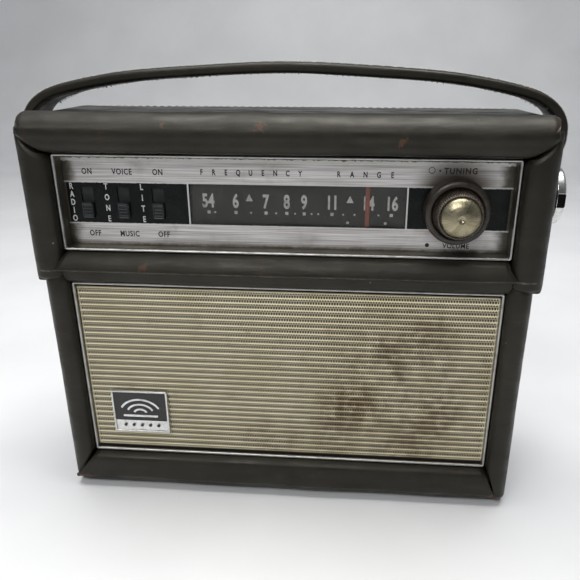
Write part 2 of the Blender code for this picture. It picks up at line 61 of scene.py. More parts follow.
DIAL_LOW, DIAL_HIGH = span("dial_trim")
GRILLE_LOW, GRILLE_HIGH = span("grille_trim")
HOOD_LOW, HOOD_HIGH = span("hood_wrap")
TUB_LOW, TUB_HIGH = span("case_wrap")
WINDOW_LOW, WINDOW_HIGH = span("dial_lens")
SCALE_FACE = span("dial_scale")[0].y
PANEL_FACE = span("dial_panel")[0].y
GRILLE_FACE = span("grille")[0].y
SHAFT = (span("tuning_shaft")[0] + span("tuning_shaft")[1]) / 2
BAND_LOW = WINDOW_LOW.z - 0.3
BAND_HIGH = WINDOW_HIGH.z + 0.3
PIVOT = (span("handle_boss_right")[0] + span("handle_boss_right")[1]) / 2


# ---------------------------------------------------------------- materials

class Look:
    """A material's node tree, with short calls for the nodes used here. Patterns are sized in millimetres."""

    def __init__(self, name):
        self.material = bpy.data.materials.new(name)
        self.material.use_nodes = True
        self.tree = self.material.node_tree
        self.shader = self.tree.nodes["Principled BSDF"]
        self.place = self.node("ShaderNodeTexCoord").outputs["Object"]

    def node(self, kind, inputs=None, **settings):
        made = self.tree.nodes.new(kind)
        for key, value in settings.items():
            setattr(made, key, value)
        for key, value in (inputs or {}).items():
            self.feed(made.inputs[key], value)
        return made

    def feed(self, socket, value):
        if isinstance(value, bpy.types.NodeSocket):
            self.tree.links.new(value, socket)
        elif isinstance(value, tuple) and socket.type == "RGBA":
            socket.default_value = (*value[:3], 1.0)
        else:
            socket.default_value = value

    def stretched(self, x=1.0, y=1.0, z=1.0):
        """Coordinates that draw a pattern out along the axes with a small factor."""
        made = self.node("ShaderNodeVectorMath", {0: self.place}, operation="MULTIPLY")
        made.inputs[1].default_value = (x, y, z)
        return made.outputs[0]

    def noise(self, size, detail=3.0, rough=0.5, place=None, seed=0.0):
        made = self.node("ShaderNodeTexNoise",
                         {"Scale": 1.0 / (size * MM), "Detail": detail, "Roughness": rough},
                         noise_dimensions="4D")
        made.inputs["W"].default_value = seed
        self.feed(made.inputs["Vector"], place or self.place)
        return made.outputs["Fac"]

    def cells(self, size, feature="F1", place=None):
        made = self.node("ShaderNodeTexVoronoi", {"Scale": 1.0 / (size * MM)}, feature=feature)
        self.feed(made.inputs["Vector"], place or self.place)
        return made.outputs["Distance"]

    def axis(self, name):
        """A coordinate in millimetres."""
        parts = self.node("ShaderNodeSeparateXYZ", {0: self.place})
        return self.math("MULTIPLY", parts.outputs[name], 1.0 / MM)

    def math(self, operation, first, second=0.0, third=0.0):
        made = self.node("ShaderNodeMath", operation=operation)
        for socket, value in zip(made.inputs, (first, second, third)):
            self.feed(socket, value)
        return made.outputs[0]

    def fade(self, value, start, end, low=0.0, high=1.0):
        """low before start, high after end, and a smooth step between."""
        made = self.node("ShaderNodeMapRange", {"Value": value}, interpolation_type="SMOOTHSTEP")
        for key, number in (("From Min", start), ("From Max", end), ("To Min", low), ("To Max", high)):
            made.inputs[key].default_value = number
        return made.outputs[0]

    def between(self, value, low, high, soft=0.15):
        """1 from low to high, 0 outside."""
        rise = self.fade(value, low - soft, low + soft)
        fall = self.fade(value, high - soft, high + soft, 1.0, 0.0)
        return self.math("MULTIPLY", rise, fall)

    def near(self, point, radius, soft):
        """1 within radius of a point in millimetres, fading to 0 over soft."""
        made = self.node("ShaderNodeVectorMath", {0: self.place}, operation="DISTANCE")
        made.inputs[1].default_value = Vector(point) * MM
        return self.fade(made.outputs["Value"], radius * MM, (radius + soft) * MM, 1.0, 0.0)

    def mix(self, factor, first, second):
        made = self.node("ShaderNodeMix", {"Factor": factor}, data_type="RGBA")
        self.feed(made.inputs[6], first)
        self.feed(made.inputs[7], second)
        return made.outputs[2]

    def bump(self, height, depth, under=None):
        """Bumps of that depth in millimetres."""
        made = self.node("ShaderNodeBump", {"Height": height, "Distance": depth * MM, "Strength": 1.0})
        if under is not None:
            self.feed(made.inputs["Normal"], under)
        return made.outputs["Normal"]

    def finish(self, **inputs):
        for key, value in inputs.items():
            self.feed(self.shader.inputs[key.replace("_", " ")], value)
        return self.material


def leather_look(name, scuffs=(), lift=1.0):
    """Dark, handled leather: fine grain, soft stains, rust-brown scuffs at given places, pale nicks, and a
    pale line on the crest of the fold under the dial that is rubbed wear with a painted highlight.
    """
    look = Look(name)
    stain = look.noise(26.0, 5.0, 0.6)
    streak = look.noise(9.0, 4.0, 0.65, look.stretched(0.22, 1.0, 1.0), 3.0)
    color = look.mix(look.fade(stain, 0.3, 0.7), (0.0085 * lift, 0.0078 * lift, 0.0055 * lift),
                     (0.0178 * lift, 0.0166 * lift, 0.0120 * lift))
    color = look.mix(look.fade(streak, 0.52, 0.78, 0.0, 0.45), color, (0.040, 0.034, 0.026))
    reddish = look.fade(look.noise(13.0, 5.0, 0.7, seed=7.0), 0.56, 0.72, 0.0, 0.5)
    color = look.mix(reddish, color, (0.036, 0.020, 0.013))
    ragged = look.math("MULTIPLY", look.math("SUBTRACT", look.noise(3.2, 6.0, 0.75, seed=1.5), 0.5), 2.6)
    worn = None
    for point, radius in scuffs:
        mask = look.near(point, 0.0, radius * 1.6)
        mask = look.fade(look.math("ADD", mask, ragged), 0.72, 1.05)
        worn = mask if worn is None else look.math("MAXIMUM", worn, mask)
    if worn is not None:
        color = look.mix(look.math("MULTIPLY", worn, 0.7), color, (0.088, 0.040, 0.024))
    spots = look.cells(17.0)
    nicks = look.math("MULTIPLY", look.fade(spots, 0.018, 0.032, 1.0, 0.0), look.fade(stain, 0.48, 0.52))
    color = look.mix(look.math("MULTIPLY", nicks, 0.7), color, (0.24, 0.21, 0.17))
    flakes = look.fade(look.noise(0.9, 5.0, 0.75, seed=12.0), 0.66, 0.74, 0.0, 0.5)
    color = look.mix(look.math("MULTIPLY", flakes, look.fade(streak, 0.45, 0.6)), color,
                     (0.075, 0.062, 0.048))
    grain = look.cells(0.85, "DISTANCE_TO_EDGE")
    creases = look.noise(3.4, 5.0, 0.6, look.stretched(0.5, 1.0, 1.0), 5.0)
    normal = look.bump(look.fade(grain, 0.0, 0.16), 0.022)
    normal = look.bump(creases, 0.22, normal)
    rough = look.fade(look.noise(7.0, 5.0, 0.65, look.stretched(0.35, 1.0, 1.0), 9.0), 0.35, 0.68, 0.30,
                      0.56)
    # A pale line along the front of the fold crest under the dial: a painted highlight on the crest, with
    # rubbed wear.
    folded = look.math("ADD", look.axis("Z"),
                       look.math("MULTIPLY", look.noise(9.0, 3.0, 0.5, seed=14.0), 1.2))
    fold_wear_and_highlight = look.math("MULTIPLY", look.between(folded, FOLD_LOW, FOLD_HIGH, 0.25),
                     look.fade(look.axis("Y"), FOLD_FRONT, FOLD_FRONT + 1.0, 1.0, 0.0))
    fold_wear_and_highlight = look.math("MULTIPLY", fold_wear_and_highlight,
                     look.fade(look.noise(5.0, 6.0, 0.75, seed=15.0), 0.42, 0.62, 0.15, 0.75))
    color = look.mix(fold_wear_and_highlight, color, (0.13, 0.12, 0.10))
    look.finish(Specular_IOR_Level=0.30, Specular_Tint=(0.98, 0.95, 0.85))
    return look.finish(Base_Color=color, Roughness=rough, Normal=normal)


def metal_look(name, color, rough, dirt=0.25, brushed=None, tarnish=(0.10, 0.085, 0.06), size=14.0):
    """Metal with cloudy tarnish. brushed is the stretch of its brush lines along x, y and z."""
    look = Look(name)
    cloud = look.noise(size, 5.0, 0.65)
    shade = look.mix(look.fade(cloud, 0.45, 0.8, 0.0, dirt), color, tarnish)
    roughness = look.fade(cloud, 0.35, 0.75, rough, min(rough + 0.22, 1.0))
    if brushed:
        lines = look.noise(0.6, 2.0, 0.5, look.stretched(*brushed), 2.0)
        shade = look.mix(look.fade(lines, 0.35, 0.7, 0.0, 0.28), shade, tuple(0.6 * part for part in color))
        look.finish(Normal=look.bump(lines, 0.012))
    else:
        look.finish(Normal=look.bump(look.noise(2.4, 4.0, 0.6, seed=4.0), 0.012))
    return look.finish(Base_Color=shade, Roughness=roughness, Metallic=1.0)


def plain_look(name, color, rough, vary=0.35, size=6.0, depth=0.02, metallic=0.0, dust=0.0):
    """Moulded, painted or fibrous stuff with cloudy colour, uneven gloss and a fine bump."""
    look = Look(name)
    cloud = look.noise(size, 5.0, 0.6)
    dark = tuple(part * (1.0 - vary) for part in color)
    light = tuple(min(part * (1.0 + vary), 1.0) for part in color)
    shade = look.mix(look.fade(cloud, 0.3, 0.7), dark, light)
    if dust:
        specks = look.fade(look.noise(size * 0.3, 6.0, 0.7, seed=6.0), 0.55, 0.8, 0.0, dust)
        shade = look.mix(specks, shade, (0.30, 0.27, 0.22))
    roughness = look.fade(look.noise(size * 1.7, 4.0, 0.6, seed=8.0), 0.3, 0.7, max(rough - 0.08, 0.03),
                          rough + 0.1)
    normal = look.bump(look.noise(size * 0.12, 3.0, 0.6, seed=2.0), depth)
    return look.finish(Base_Color=shade, Roughness=roughness, Metallic=metallic, Normal=normal)


def panel_look():
    """The dial panel: brushed metal darkened at the ends by grime and by painted shade from the recess walls,
    a painted shadow line under the top trim, painted shade with grime round the knob, and a black painted
    band whose pale edges are chipped paint and a painted highlight.
    """
    look = Look("dial_panel_metal")
    across = look.axis("X")
    up = look.axis("Z")
    lines = look.noise(0.42, 2.0, 0.5, look.stretched(0.012, 1.0, 1.0), 2.0)
    broad = look.noise(2.2, 3.0, 0.5, look.stretched(0.03, 1.0, 1.0), 5.0)
    cloud = look.noise(16.0, 5.0, 0.6)
    metal = look.mix(look.fade(lines, 0.3, 0.7), (0.42, 0.40, 0.39), (0.76, 0.735, 0.72))
    metal = look.mix(look.fade(broad, 0.5, 0.75, 0.0, 0.35), metal, (0.26, 0.235, 0.215))
    metal = look.mix(look.fade(cloud, 0.5, 0.78, 0.0, 0.4), metal, (0.21, 0.185, 0.135))
    ends = look.math("ABSOLUTE", across)
    # The ends of the panel are darkened: grime, and painted shade cast by the walls of the recess.
    end_grime_and_shade = look.math("ADD", ends, look.math("MULTIPLY", look.noise(5.0, 4.0, 0.6, seed=3.0), 7.0))
    metal = look.mix(look.fade(end_grime_and_shade, 102.0, 108.5, 0.0, 0.92), metal, (0.055, 0.05, 0.032))
    lower = look.math("SUBTRACT", up, look.math("MULTIPLY", look.noise(6.0, 5.0, 0.7, seed=4.0), 4.2))
    metal = look.mix(look.fade(lower, 137.6, 140.2, 0.85, 0.0), metal, (0.09, 0.08, 0.055))
    upper = look.math("ADD", up, look.math("MULTIPLY", look.noise(3.0, 6.0, 0.75, seed=6.0), 3.4))
    metal = look.mix(look.fade(upper, 183.0, 183.5, 0.0, 1.0), metal, (0.62, 0.61, 0.57))
    # The dark line at the very top of the panel is a painted shadow under the top trim.
    metal = look.mix(look.fade(upper, 184.5, 184.8, 0.0, 0.9), metal, (0.06, 0.05, 0.035))
    # A darker halo on the panel round the tuning knob: painted shade about the knob, with finger grime.
    knob_grime_and_shade = look.near((SHAFT.x, PANEL_FACE, SHAFT.z + 4.0), 13.0, 11.0)
    metal = look.mix(look.math("MULTIPLY", knob_grime_and_shade, 0.8), metal, (0.075, 0.062, 0.035))
    ragged = look.math("MULTIPLY", look.math("SUBTRACT", look.noise(1.1, 5.0, 0.7, seed=8.0), 0.5), 0.75)
    worn_up = look.math("ADD", up, ragged)
    band = look.between(worn_up, BAND_LOW, BAND_HIGH, 0.06)
    band = look.math("MULTIPLY", band, look.fade(ends, 105.3, 105.7, 1.0, 0.0))
    black = look.mix(look.fade(look.noise(7.0, 4.0, 0.6, seed=9.0), 0.4, 0.75), (0.0025, 0.0030, 0.0030),
                     (0.0075, 0.0085, 0.0085))
    dust = look.fade(look.noise(0.8, 6.0, 0.8, seed=11.0), 0.70, 0.78, 0.0, 0.5)
    black = look.mix(dust, black, (0.12, 0.12, 0.11))
    color = look.mix(band, metal, black)
    # Pale lines along both edges of the black band: chipped paint showing bare metal, and a painted highlight
    # standing for the glint on the edges of the metal strips.
    bright = look.math("ADD", look.between(worn_up, BAND_HIGH - 0.05, BAND_HIGH + 0.65, 0.12),
                       look.between(worn_up, BAND_LOW - 0.6, BAND_LOW + 0.05, 0.12))
    color = look.mix(look.math("MULTIPLY", bright, 0.75), color, (0.62, 0.61, 0.59))
    edge = 0.0
    for side in (WINDOW_LOW.x - 0.65, WINDOW_HIGH.x + 0.65):
        line = look.between(across, side - 0.35, side + 0.35, 0.06)
        edge = line if edge == 0.0 else look.math("MAXIMUM", edge, line)
    edge = look.math("MULTIPLY", edge, band)
    color = look.mix(look.math("MULTIPLY", edge, 0.9), color, (0.62, 0.63, 0.62))
    inverse = look.math("SUBTRACT", 1.0, band)
    metallic = look.math("MULTIPLY", inverse, 0.9)
    rough = look.math("ADD", look.math("MULTIPLY", inverse, 0.16), look.fade(cloud, 0.3, 0.75, 0.22, 0.40))
    normal = look.bump(lines, 0.006)
    look.finish(Specular_IOR_Level=0.16)
    return look.finish(Base_Color=color, Roughness=rough, Metallic=metallic, Normal=normal)


def grille_look():
    """Champagne anodised sheet with brown stains, and painted shade in the valleys between the ribs."""
    look = Look("grille_sheet_metal")
    depth = look.axis("Y")
    cloud = look.noise(22.0, 6.0, 0.65)
    color = look.mix(look.fade(cloud, 0.3, 0.7), (0.79, 0.71, 0.475), (0.93, 0.86, 0.64))
    stain = look.noise(8.0, 6.0, 0.7, seed=3.0)
    color = look.mix(look.fade(stain, 0.52, 0.75, 0.0, 0.5), color, (0.30, 0.235, 0.135))
    for point, radius, strength in (((52.0, GRILLE_FACE, 88.0), 7.0, 0.75),
                                    ((58.0, GRILLE_FACE, 78.0), 6.0, 0.6),
                                    ((20.0, GRILLE_FACE, 34.0), 16.0, 0.5),
                                    ((-10.0, GRILLE_FACE, 30.0), 14.0, 0.45),
                                    ((34.0, GRILLE_FACE, 54.0), 14.0, 0.95),
                                    ((80.0, GRILLE_FACE, 50.0), 14.0, 0.6),
                                    ((64.0, GRILLE_FACE, 30.0), 16.0, 0.6),
                                    ((74.0, GRILLE_FACE, 98.0), 12.0, 0.6),
                                    ((62.0, GRILLE_FACE, 66.0), 44.0, 0.5)):
        patch = look.math("MULTIPLY", look.near(point, radius * 0.3, radius * 1.3),
                          look.fade(stain, 0.35, 0.6))
        patch = look.math("MULTIPLY", patch,
                          look.fade(depth, GRILLE_FACE + 0.05, GRILLE_FACE + 0.35, 0.4, 1.0))
        color = look.mix(look.math("MULTIPLY", patch, strength), color, (0.17, 0.092, 0.024))
    # Darker valleys between the ribs: painted shade.
    valley = look.fade(depth, GRILLE_FACE + 0.15, GRILLE_FACE + 0.75)
    color = look.mix(look.math("MULTIPLY", valley, 0.55), color, (0.12, 0.095, 0.05))
    rough = look.fade(cloud, 0.3, 0.7, 0.40, 0.58)
    return look.finish(Base_Color=color, Roughness=rough, Metallic=0.35)


# ---------------------------------------------------------------- mesh helpers

def piece(name, points, faces, look, body, nodes=(), slot=None, smooth=38.0):
    """A visible mesh whose points are in millimetres. It rides on a body and may replace CAD nodes."""
    mesh = bpy.data.meshes.new(name)
    mesh.from_pydata([tuple(float(part) * MM for part in point) for point in points], [], faces)
    mesh.validate()
    bm = bmesh.new()
    bm.from_mesh(mesh)
    bmesh.ops.recalc_face_normals(bm, faces=bm.faces)
    bm.to_mesh(mesh)
    bm.free()
    obj = bpy.data.objects.new(name, mesh)
    bpy.context.scene.collection.objects.link(obj)
    return dress(obj, look, body, nodes, smooth)


def dress(obj, look, body, nodes=(), smooth=38.0):
    """Gives an object its material, shading, body and the CAD nodes that it stands for."""
    mesh = obj.data
    mesh.materials.clear()
    mesh.materials.append(look)
    if smooth:
        mesh.shade_smooth()
        mesh.set_sharp_from_angle(angle=math.radians(smooth))
    if nodes:
        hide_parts(*nodes)
    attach(obj, body)
    return obj


def ring_faces(rings, closed_loop=True, caps=True, closed_path=False):
    """Quads between rings of equal length, with the ends closed."""
    count = len(rings[0])
    points = [point for ring in rings for point in ring]
    faces = []
    last = len(rings) if closed_path else len(rings) - 1
    around = count if closed_loop else count - 1
    for row in range(last):
        here = row * count
        there = ((row + 1) % len(rings)) * count
        for step in range(around):
            after = (step + 1) % count
            faces.append((here + step, here + after, there + after, there + step))
    if caps and not closed_path:
        faces.append(tuple(range(count))[::-1])
        faces.append(tuple(range((len(rings) - 1) * count, len(rings) * count)))
    return points, faces


def curve_through(keys, count, closed=False):
    """Points on a smooth line through the key points, count to each stretch."""
    keys = [Vector(key) for key in keys]
    total = len(keys)
    spans = total if closed else total - 1
    made = []
    for index in range(spans):
        if closed:
            before, start, end, after = (keys[(index + shift) % total] for shift in (-1, 0, 1, 2))
        else:
            before, start, end, after = (keys[min(max(index + shift, 0), total - 1)] for shift in (-1, 0, 1,
                                                                                                   2))
        for step in range(count):
            t = step / count
            point = start * 2 + (end - before) * t + (before * 2 - start * 5 + end * 4 - after) * t * t
            point += (start * 3 - before - end * 3 + after) * t * t * t
            made.append(point / 2)
    if not closed:
        made.append(keys[-1])
    return made


def lathe(profile, centre, direction, segments=96):
    """Rings turned round an axis. The profile is (radius, distance along direction) pairs."""
    axis = Vector(direction).normalized()
    side = axis.orthogonal().normalized()
    up = axis.cross(side)
    points = []
    rows = []
    for radius, along in profile:
        at = Vector(centre) + axis * along
        if radius < 1e-6:
            rows.append([len(points)])
            points.append(at)
            continue
        row = []
        for step in range(segments):
            angle = 2 * math.pi * step / segments
            row.append(len(points))
            points.append(at + (side * math.cos(angle) + up * math.sin(angle)) * radius)
        rows.append(row)
    faces = []
    closed = profile[0][0] > 1e-6
    pairs = list(zip(rows, rows[1:]))
    if closed:
        pairs.append((rows[-1], rows[0]))
    for first, second in pairs:
        if len(first) == 1 and len(second) == 1:
            continue
        for step in range(segments):
            after = (step + 1) % segments
            if len(first) == 1:
                faces.append((first[0], second[after], second[step]))
            elif len(second) == 1:
                faces.append((first[step], first[after], second[0]))
            else:
                faces.append((first[step], first[after], second[after], second[step]))
    return points, faces


def softened(profile, radius, closed=False, steps=4):
    """A profile with its corners rounded by up to radius."""
    made = []
    total = len(profile)
    for index, corner in enumerate(profile):
        corner = Vector(corner)
        if not closed and index in (0, total - 1):
            made.append(tuple(corner))
            continue
        before = Vector(profile[index - 1]) - corner
        after = Vector(profile[(index + 1) % total]) - corner
        cut = min(radius, before.length * 0.45, after.length * 0.45)
        start = corner + before.normalized() * cut
        end = corner + after.normalized() * cut
        for step in range(steps + 1):
            t = step / steps
            made.append(tuple(start * (1 - t) ** 2 + corner * 2 * t * (1 - t) + end * t ** 2))
    return made


def join_parts(parts):
    """One list of points and faces from several."""
    points = []
    faces = []
    for more, links in parts:
        shift = len(points)
        points.extend(more)
        faces.extend(tuple(index + shift for index in face) for face in links)
    return points, faces


def slab(low, high, rounding=0.4, steps=3):
    """A box with rounded edges on all sides, as stacked rounded outlines along Y."""
    low = Vector(low)
    high = Vector(high)
    rings = []
    depth = high.y - low.y
    edge = min(rounding, depth * 0.45)
    levels = []
    for step in range(steps + 1):
        angle = math.pi / 2 * step / steps
        levels.append((low.y + edge * (1 - math.sin(angle)), edge * (1 - math.cos(angle))))
    levels += [(high.y - (at - low.y), inset) for at, inset in reversed(levels)]
    for at, inset in levels:
        rings.append([Vector((a, at, b)) for a,
                      b in outline(low.x, high.x, low.z, high.z, rounding, edge - inset)])
    return ring_faces(rings)


def outline(left, right, low, high, radius, inset=0.0, steps=4):
    """A rectangle with round corners in the plane of the front, drawn in by inset."""
    left += inset
    right -= inset
    low += inset
    high -= inset
    radius = max(radius - inset, 0.02)
    made = []
    for across, up, start in ((right - radius, low + radius, -90), (right - radius, high - radius, 0),
                              (left + radius, high - radius, 90), (left + radius, low + radius, 180)):
        for step in range(steps + 1):
            angle = math.radians(start + 90 * step / steps)
            made.append((across + radius * math.cos(angle), up + radius * math.sin(angle)))
    return made


def step_up(value, low, high):
    """0 below low, 1 above high, smooth between."""
    share = min(max((value - low) / (high - low), 0.0), 1.0)
    return share * share * (3 - 2 * share)


def wobble(point, size, seed=0.0):
    """Smooth noise from -1 to 1 at a point in millimetres."""
    return noise.noise(Vector(point) / size + Vector((seed, seed * 0.7, -seed)))


def cut(obj, cutter):
    """Cuts one mesh out of another, and keeps only the result."""
    mod = obj.modifiers.new("cut", "BOOLEAN")
    mod.object = cutter
    mod.solver = "EXACT"
    evaluated = obj.evaluated_get(bpy.context.evaluated_depsgraph_get())
    mesh = bpy.data.meshes.new_from_object(evaluated)
    obj.modifiers.clear()
    obj.data = mesh
    bpy.data.objects.remove(cutter)


def loose(points, faces):
    """A bare object that only cuts."""
    mesh = bpy.data.meshes.new("cutter")
    mesh.from_pydata([tuple(float(part) * MM for part in point) for point in points], [], faces)
    bm = bmesh.new()
    bm.from_mesh(mesh)
    bmesh.ops.recalc_face_normals(bm, faces=bm.faces)
    bm.to_mesh(mesh)
    bm.free()
    obj = bpy.data.objects.new("cutter", mesh)
    bpy.context.scene.collection.objects.link(obj)
    return obj


def lettering(text, size, place, look, body, name, bold=0.1, spread=1.0, thick=0.05, width=1.0):
    """Raised print on a face that looks to the front. size is the height of a capital in millimetres."""
    curve = bpy.data.curves.new(name, "FONT")
    curve.body = text
    curve.size = size / 0.7
    curve.space_character = spread
    curve.extrude = thick / 2
    curve.offset = bold
    curve.align_x = "CENTER"
    curve.align_y = "CENTER"
    curve.resolution_u = 3
    flat = bpy.data.objects.new(name + "_flat", curve)
    bpy.context.scene.collection.objects.link(flat)
    evaluated = flat.evaluated_get(bpy.context.evaluated_depsgraph_get())
    mesh = bpy.data.meshes.new_from_object(evaluated)
    bpy.data.objects.remove(flat)
    lay = Matrix(((1, 0, 0, 0), (0, 0, -1, 0), (0, 1, 0, 0), (0, 0, 0, 1)))
    mesh.transform(Matrix.Translation(Vector(place)) @ lay @ Matrix.Diagonal((width, 1, 1, 1)))
    mesh.transform(Matrix.Scale(MM, 4))
    obj = bpy.data.objects.new(name, mesh)
    bpy.context.scene.collection.objects.link(obj)
    return dress(obj, look, body, smooth=0)


# ---------------------------------------------------------------- leather case

HOOD_SIDE = HOOD_HIGH.x
TUB_SIDE = TUB_HIGH.x
TOP = HOOD_HIGH.z
HOOD_EDGE = HOOD_LOW.z
HOOD_REACH = HOOD_SIDE - DIAL_HIGH.x
TUB_REACH = TUB_SIDE - GRILLE_HIGH.x
CORNER = 6.5
FOLD_LOW = 129.9
FOLD_HIGH = 130.7
FOLD_FRONT = -38.5
SEAM_HEIGHT = 12.0
SEAM_BEND = 1.8
MITRE = 19.0
SEAM_DIP = 1.0
TONGUE = 5.8
TONGUE_DROP = 15.5

TOP_SECTION = ((0.4, -31.4), (0.5, -34.0), (1.5, -36.5), (3.8, -37.9), (6.4, -38.4), (9.2, -38.9),
               (12.2, -38.4),
               (15.0, -36.5), (17.2, -33.6), (18.6, -30.4), (18.7, -28.2), (17.4, -26.6), (14.0, -26.4),
               (4.0, -27.4),
               (0.9, -28.8))
HOOD_SIDE_SECTION = ((0.3, -31.4), (0.5, -34.2), (1.6, -36.8), (4.2, -38.5), (7.6, -39.0), (11.0, -38.3),
                     (13.8, -36.3), (15.6, -33.3), (16.3, -30.2), (16.2, -28.0), (15.2, -26.8),
                     (13.0, -26.5),
                     (4.0, -27.3), (0.9, -28.8))
TUB_SIDE_SECTION = ((0.3, -31.4), (0.5, -34.0), (1.6, -36.4), (3.8, -37.9), (6.6, -38.3), (9.4, -37.5),
                    (11.6, -35.4),
                    (12.9, -32.4), (13.2, -29.6), (13.1, -27.9), (12.2, -26.8), (10.4, -26.5), (4.0, -27.3),
                    (0.9, -28.8))
BOTTOM_SECTION = ((0.3, -31.4), (0.6, -34.4), (1.9, -36.9), (5.0, -38.0), (9.6, -38.5), (13.2, -38.4),
                  (14.8, -38.0),
                  (15.6, -37.2), (17.8, -35.9), (20.2, -33.6), (21.5, -30.9), (21.7, -28.6), (20.8, -27.0),
                  (18.0, -26.6), (4.0, -27.3), (0.9, -28.8))
LOWER_SECTION = ((0.3, -31.4), (0.6, -33.4), (1.9, -36.0), (4.4, -38.0), (7.0, -39.2), (8.5, -39.5),
                 (9.1, -38.9),
                 (9.5, -37.5), (10.5, -36.3), (12.6, -35.7), (14.8, -35.2), (16.1, -34.2), (16.5, -32.0),
                 (16.3, -29.4), (15.0, -27.8), (3.0, -27.6), (0.9, -28.8))


def rounded_corner(point, side, level, up):
    """Bends a square corner of the case round: the CORNER square there becomes a quarter disc."""
    across = abs(point.x) - (side - CORNER)
    rise = (point.z - (level - CORNER)) if up else ((level + CORNER) - point.z)
    if across <= 0 or rise <= 0:
        return point
    reach = math.hypot(across, rise)
    fit = max(across, rise) / reach
    across *= fit
    rise *= fit
    x = math.copysign(side - CORNER + across, point.x)
    z = (level - CORNER + rise) if up else (level + CORNER - rise)
    return Vector((x, point.y, z))


def rail(name, base, along, out, section, start, end, look, node, shape, dips=(SEAM_DIP, SEAM_DIP),
         count=170, seed=0.0,
         swell=0.5, turns_at=None):
    """A stuffed leather roll. Its section is (outward, y) pairs, and start and end say how far each one runs.

    dips is how far a seam pulls the surface in at each end. Beyond turns_at no seam does."""
    ring = curve_through([(s, y) for s, y in section], 5, closed=True)
    middle = Vector((sum(point.x for point in ring) / len(ring),
                     sum(point.y for point in ring) / len(ring)))
    turns_at = turns_at or max(point.x for point in ring) - 2.0
    along = Vector(along)
    out = Vector(out)
    rings = []
    for step in range(count + 1):
        share = step / count
        share -= 0.115 * math.sin(2 * math.pi * share)
        row = []
        for across in ring:
            first = start(across.x, across.y)
            last = end(across.x, across.y)
            run = first + (last - first) * share
            pull = (dips[0] * math.exp(-((run - first) / 1.5) ** 2)
                    + dips[1] * math.exp(-((last - run) / 1.5) ** 2))
            pull *= 1.0 - 0.9 * step_up(across.x, turns_at - 3.0, turns_at)
            aim = (across - middle).normalized()
            bare = Vector(base) + out * across.x + along * run
            bare.y = across.y
            push = swell * (0.7 * wobble(bare, 34.0, seed) + 0.22 * wobble(bare, 9.0,
                                                                           seed + 3) - 0.1) - pull
            push = push if across.y < -29.0 else min(push, 0.0)
            spot = across + aim * push
            point = Vector(base) + out * spot.x + along * run
            point.y = spot.y
            row.append(shape(point))
        rings.append(row)
    points, faces = ring_faces(rings)
    obj = piece(name, points, faces, look, "case", (node,), "leather", smooth=60.0)
    return obj


def hood_shape(point):
    return rounded_corner(point, HOOD_SIDE, TOP + 0.7, True)


def tub_shape(point):
    return rounded_corner(point, TUB_SIDE, 0.2, False)


def nose(s, y, seam):
    """How far a roll that turns a corner draws back towards the front, beyond the seam's height."""
    forward = min(max((-30.0 - y) / 9.2, 0.0), 0.995)
    return 6.0 * (1.0 - math.sqrt(1.0 - forward ** 2)) * step_up(s, seam - 3.0, seam + 1.0)


